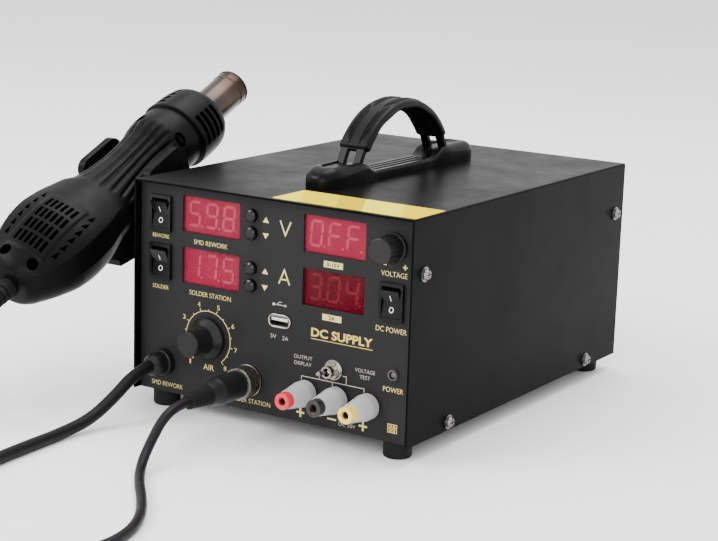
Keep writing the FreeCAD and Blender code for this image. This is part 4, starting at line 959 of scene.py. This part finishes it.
def grip_section(degrees):
    """The soft grip's section: a lip at its ends, three lanes of ridges a side, finger scallops below."""
    off = abs(degrees)
    end = smooth((55 - off) / 1.1)
    outer, inner, half = 55.6 - 0.7 * (1 - end), 50.3 + 0.35 * (1 - end), 9.9 - 0.5 * (1 - end)
    scallop = 0.55 * (0.5 - 0.5 * math.cos(math.radians(degrees) * 16)) * band(off, 0, 46, 5)
    top = []
    for j in range(97):
        x = -half + 1.5 + (2 * half - 3.0) * j / 96
        rise = 0.4 * (1 - (x / half) ** 2) + 0.35 * band(off, 53.2, 56, 0.5)
        for lane in (3.6, 5.0, 6.4):
            shift = (lane - 5) * 2.4
            near = 0.7 * band(abs(x), lane - 0.2, lane + 0.2, 0.4)
            for low, high in ((-49, -22), (-15, 15), (22, 49)):
                rise += near * band(degrees, low + shift, high + shift, 1.2)
        top.append((x, outer + rise))
    side = [(half - 0.7, outer - 0.25), (half, outer - 1.2), (half, inner + 1.0 + scallop),
            (half - 0.6, inner + 0.3 + scallop)]
    under = [(half - 1.6 - (2 * half - 3.2) * j / 8, inner + 0.6 * scallop) for j in range(9)]
    return top + side + under + [(-x, r) for x, r in reversed(side)]


def make_handle():
    """Foot with its two shoes, a slotted strap, and the soft grip over it."""
    near, far = HANDLE_ENDS
    rows = sorted({near + s for s in (0.0, 0.25, 0.7, 1.4, 2.4, 3.6, 5, 6.6, 8.4)}
                  | {near + 10 + 74 * i / 60 for i in range(61)})
    rows += [near + far - y for y in reversed(rows[:-1])]
    foot = piece("handle_foot", skin([foot_ring(y) for y in rows]), "handle_plastic")
    foot.data.set_sharp_from_angle(angle=math.radians(50))
    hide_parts("handle_base")

    strap = bmesh.new()
    left, right = (-8.2, -2.9), (2.9, 8.2)      # the legs either side of the strap's slots
    for low, high, (a, b) in ((-70, -55.5, left), (-70, -55.5, right), (-56, 56, (-8.2, 8.2)),
                              (55.5, 70, left), (55.5, 70, right)):
        section = ((a, 51.8), (a + 0.3, 51.4), (b - 0.3, 51.4), (b, 51.8), (b, 54.2), (b - 0.4, 54.6),
                   (a + 0.4, 54.6), (a, 54.2))
        add_rings(strap, [arch_ring(section, low + (high - low) * i / 24) for i in range(25)])
    strap = piece("handle_band", settled(strap), "handle_plastic")
    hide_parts("handle_strap")

    turns = [-55 + 110 * i / 180 for i in range(181)]
    sleeve = skin([arch_ring(grip_section(t), t) for t in turns])
    grip = piece("handle_soft_grip", sleeve, "handle_grip_rubber")
    grip.data.set_sharp_from_angle(angle=math.radians(45))
    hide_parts("handle_grip")


make_handle()


# ---- label on top, rocker marks, digits, socket rim

LABEL_X, LABEL_Y = (94.8, 186.8), (2.5, 34.0)


def label_finish():
    """Yellow film printed in slanting blocks of three tones, slightly rubbed."""
    made = Surface("label_yellow")
    corner = made.node("ShaderNodeMapping")
    corner.inputs["Location"].default_value = -at(LABEL_X[0], LABEL_Y[0], 0)
    made.link(made.place, corner.inputs["Vector"])
    place = made.axes(corner.outputs["Vector"])
    slant = made.maths("MULTIPLY_ADD", place["Y"], 0.55, place["X"])
    pale, full, deep = (0.72, 0.60, 0.04), (0.62, 0.47, 0.0), (0.50, 0.36, 0.0)
    stops = ((0.0, pale), (0.17, full), (0.40, deep), (0.56, pale), (0.80, full))
    blocks = made.ramp(made.spread(slant, 0, 1, 0.0, 0.104), stops, "CONSTANT")
    worn = made.spread(made.noise(0.004, 6.0, 0.7), 0, 0.35, 0.58, 0.72)
    made.colour(made.mixed(worn, blocks, (0.42, 0.32, 0.01)))
    made.roughness(made.spread(made.noise(0.006, 4.0), 0.22, 0.42))
    made.bump(made.noise(0.02, 2.0), 0.00008)
    made.set(Specular_IOR_Level=0.0)
    return made.material


def make_label():
    """A thin sheet with rounded corners on the cover's front edge."""
    (x0, x1), (y0, y1), r = LABEL_X, LABEL_Y, 1.6
    outline = []
    for cx, cy, start in ((x1 - r, y0 + r, -90), (x1 - r, y1 - r, 0), (x0 + r, y1 - r, 90),
                          (x0 + r, y0 + r, 180)):
        for i in range(7):
            turn = math.radians(start + 15 * i)
            outline.append((cx + r * math.cos(turn), cy + r * math.sin(turn)))
    rings = [[(x, y, DECK + z) for x, y in outline] for z in (0.02, 0.14)]
    piece("top_label", skin(rings), "panel_black", label_finish())


make_label()

ROCKERS = (("rework_rocker", 16.3, 115.4), ("solder_rocker", 16.3, 87.3), ("dc_power_rocker", 173, 87.3))


def on_rocker(x0, z0):
    """A frame to print on: the dished face of a rocker that leans about its pin at (x0, z0)."""
    lean, pin_back = math.radians(9), 7

    def spot(u, v, off):
        y = -2.6 - 2.4 / 7.6 * abs(v) - off - 0.07
        back = y * math.cos(lean) - v * math.sin(lean)
        return at(x0 + u, pin_back + back, z0 + y * math.sin(lean) + v * math.cos(lean))

    return spot


def mark_rockers():
    """A white bar over a white ring on each rocker."""
    white = printed("ink_white", (0.78, 0.78, 0.76))
    ring = ellipse(0.2, -3.6, 1.25, 1.35, 24)
    for body, x, z in ROCKERS:
        seat = on_rocker(x, z)
        print_line("mark", [(-0.1, 1.1), (-0.1, 4.5)], 0.42, frame_at=seat)
        print_line("mark", ring, 0.38, closed=True, frame_at=seat)
        piece(f"{body}_mark", settled(INK.pop("mark")), "switch_plastic", white, body)


mark_rockers()

DIGIT_PROUD = 0.06      # the bars stand this far off their module
DIGIT_HIGH, DIGIT_PITCH = 13.5, 12.0
MODULE_FACE = (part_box("display_modules")[0].y - CORNER.y) / MM
DISPLAYS = ((49.8, 117.0, "598", "digit"), (49.8, 87.3, "175", "digit"), (133.3, 117.0, "0FF", "digit"),
            (133.3, 87.3, "304", "digit_dim"))      # each row's middle digit, what it shows, its tone
SHOWN = {"0": "abcdef", "1": "bc", "3": "abcdg", "4": "bcfg", "5": "acdfg", "7": "abc", "8": "abcdefg",
         "9": "abcdfg", "F": "aefg"}


def on_module(x, z, off):
    """A point on the front of the display modules."""
    return at(x, MODULE_FACE - DIGIT_PROUD - off, z)


def print_digit(tone, x, z, shown, slant=0.09):
    """One digit: those of its seven bars that are shown, and its point."""
    thick, gap = DIGIT_HIGH * 0.115, DIGIT_HIGH * 0.02
    w, h = DIGIT_HIGH * 0.26, DIGIT_HIGH / 2
    bars = {"a": ((-w, h), (w, h)), "d": ((-w, -h), (w, -h)), "g": ((-w, 0), (w, 0)), "f": ((-w, 0), (-w, h)),
            "b": ((w, 0), (w, h)), "e": ((-w, -h), (-w, 0)), "c": ((w, -h), (w, 0))}
    for key, ends in bars.items():
        if key not in shown:
            continue
        a, b = map(Vector, ends)
        run = (b - a).normalized()
        across = Vector((-run.y, run.x)) * thick / 2
        tip = run * thick / 2
        a, b = a + tip + run * gap, b - tip - run * gap
        outline = (a - tip, a - across, b - across, b + tip, b + across, a + across)
        print_flat(tone, [(x + p.x + slant * p.y, z + p.y) for p in outline], frame_at=on_module)
    print_flat(tone, rectangle(x + 5.2, z - 6.6, 0.6, 0.6), frame_at=on_module)


def make_digits():
    """Unlit three-digit modules behind the windows, dimmer behind the lower right one, which has no painted
    reflection.
    """
    for x, z, digits, tone in DISPLAYS:
        for i, digit in enumerate(digits):
            print_digit(tone, x + (i - 1) * DIGIT_PITCH, z, SHOWN[digit])
    for tone, colour in (("digit", (0.95, 0.50, 0.52)), ("digit_dim", (0.50, 0.10, 0.12))):
        lens = plastic(f"{tone}_lens", colour, 0.3, 0.0008, 0.00001)
        piece(f"display_{tone}s", settled(INK.pop(tone)), "display_face", lens)


make_digits()


def stadium(x, z, wide, high, y, count=9):
    """A ring of points round a slot with semicircular ends."""
    r = high / 2
    points = []
    for side, start in ((1, -90), (-1, 90)):
        for i in range(count):
            turn = math.radians(start + 180 * i / (count - 1))
            points.append((x + side * (wide / 2 - r) + r * math.cos(turn), y, z + r * math.sin(turn)))
    return points


def make_charge_rim():
    """The charging socket's plated rim and the tongue in it."""
    x, z, face = 100.4, 65.1, PANEL_FACE
    section = ((15.6, 8.2, 0.05), (15.4, 8.0, 0.75), (14.9, 7.5, 1.0), (13.8, 6.4, 1.0), (13.3, 5.9, 0.7),
               (13.2, 5.8, 0.05))      # width, height, how far proud of the panel
    rim = bmesh.new()
    add_rings(rim, [stadium(x, z, wide, high, face - proud) for wide, high, proud in section], True)
    piece("charge_socket_rim", settled(rim, True), "nickel")
    plate = skin([[(across, face - proud, up) for across, up in rectangle(x, z + 0.95, wide, high)]
                  for wide, high, proud in ((5.1, 0.6, 0.55), (5.4, 0.85, 0.3), (5.4, 0.85, -0.3))])
    tongue = plastic("tongue_plastic", (0.62, 0.62, 0.60), 0.28, 0.0006, 0.00001)
    piece("charge_socket_tongue", plate, "nickel", tongue)


make_charge_rim()


# ---- stage and light

def stage():
    """A pale floor and an even white studio round it."""
    mesh = bmesh.new()
    bmesh.ops.create_grid(mesh, x_segments=2, y_segments=2, size=9)
    floor = add_object("floor", mesh_data("floor", mesh))
    made = Surface("floor")
    made.colour(made.clouds(0.3, 2.0, (0.88, 0.88, 0.88), (0.90, 0.90, 0.90)))
    made.set(Roughness=0.6, Specular_IOR_Level=0.25)
    floor.data.materials.append(made.material)
    world = bpy.data.worlds.new("studio")
    bpy.context.scene.world = world
    world.use_nodes = True
    back = world.node_tree.nodes["Background"]
    back.inputs["Color"].default_value = (1, 1, 1, 1)
    back.inputs["Strength"].default_value = 1.7


def softbox(name, place, towards, size, power):
    """A rectangular light aimed at a point."""
    data = bpy.data.lights.new(name, "AREA")
    data.shape = "RECTANGLE"
    data.size, data.size_y = size
    data.energy = power
    thing = add_object(name, data)
    thing.location = place
    thing.rotation_mode = "QUATERNION"
    thing.rotation_quaternion = (Vector(towards) - Vector(place)).to_track_quat("-Z", "Y")


stage()
softbox("key", (-1.3, -1.5, 1.7), (0, 0, 0.05), (1.4, 1.1), 62)
softbox("front", (0.9, -2.0, 0.9), (0.05, 0, 0.08), (1.2, 0.8), 20)
softbox("top", (0.1, 0.5, 1.9), (0, 0.1, 0.1), (1.6, 1.2), 40)
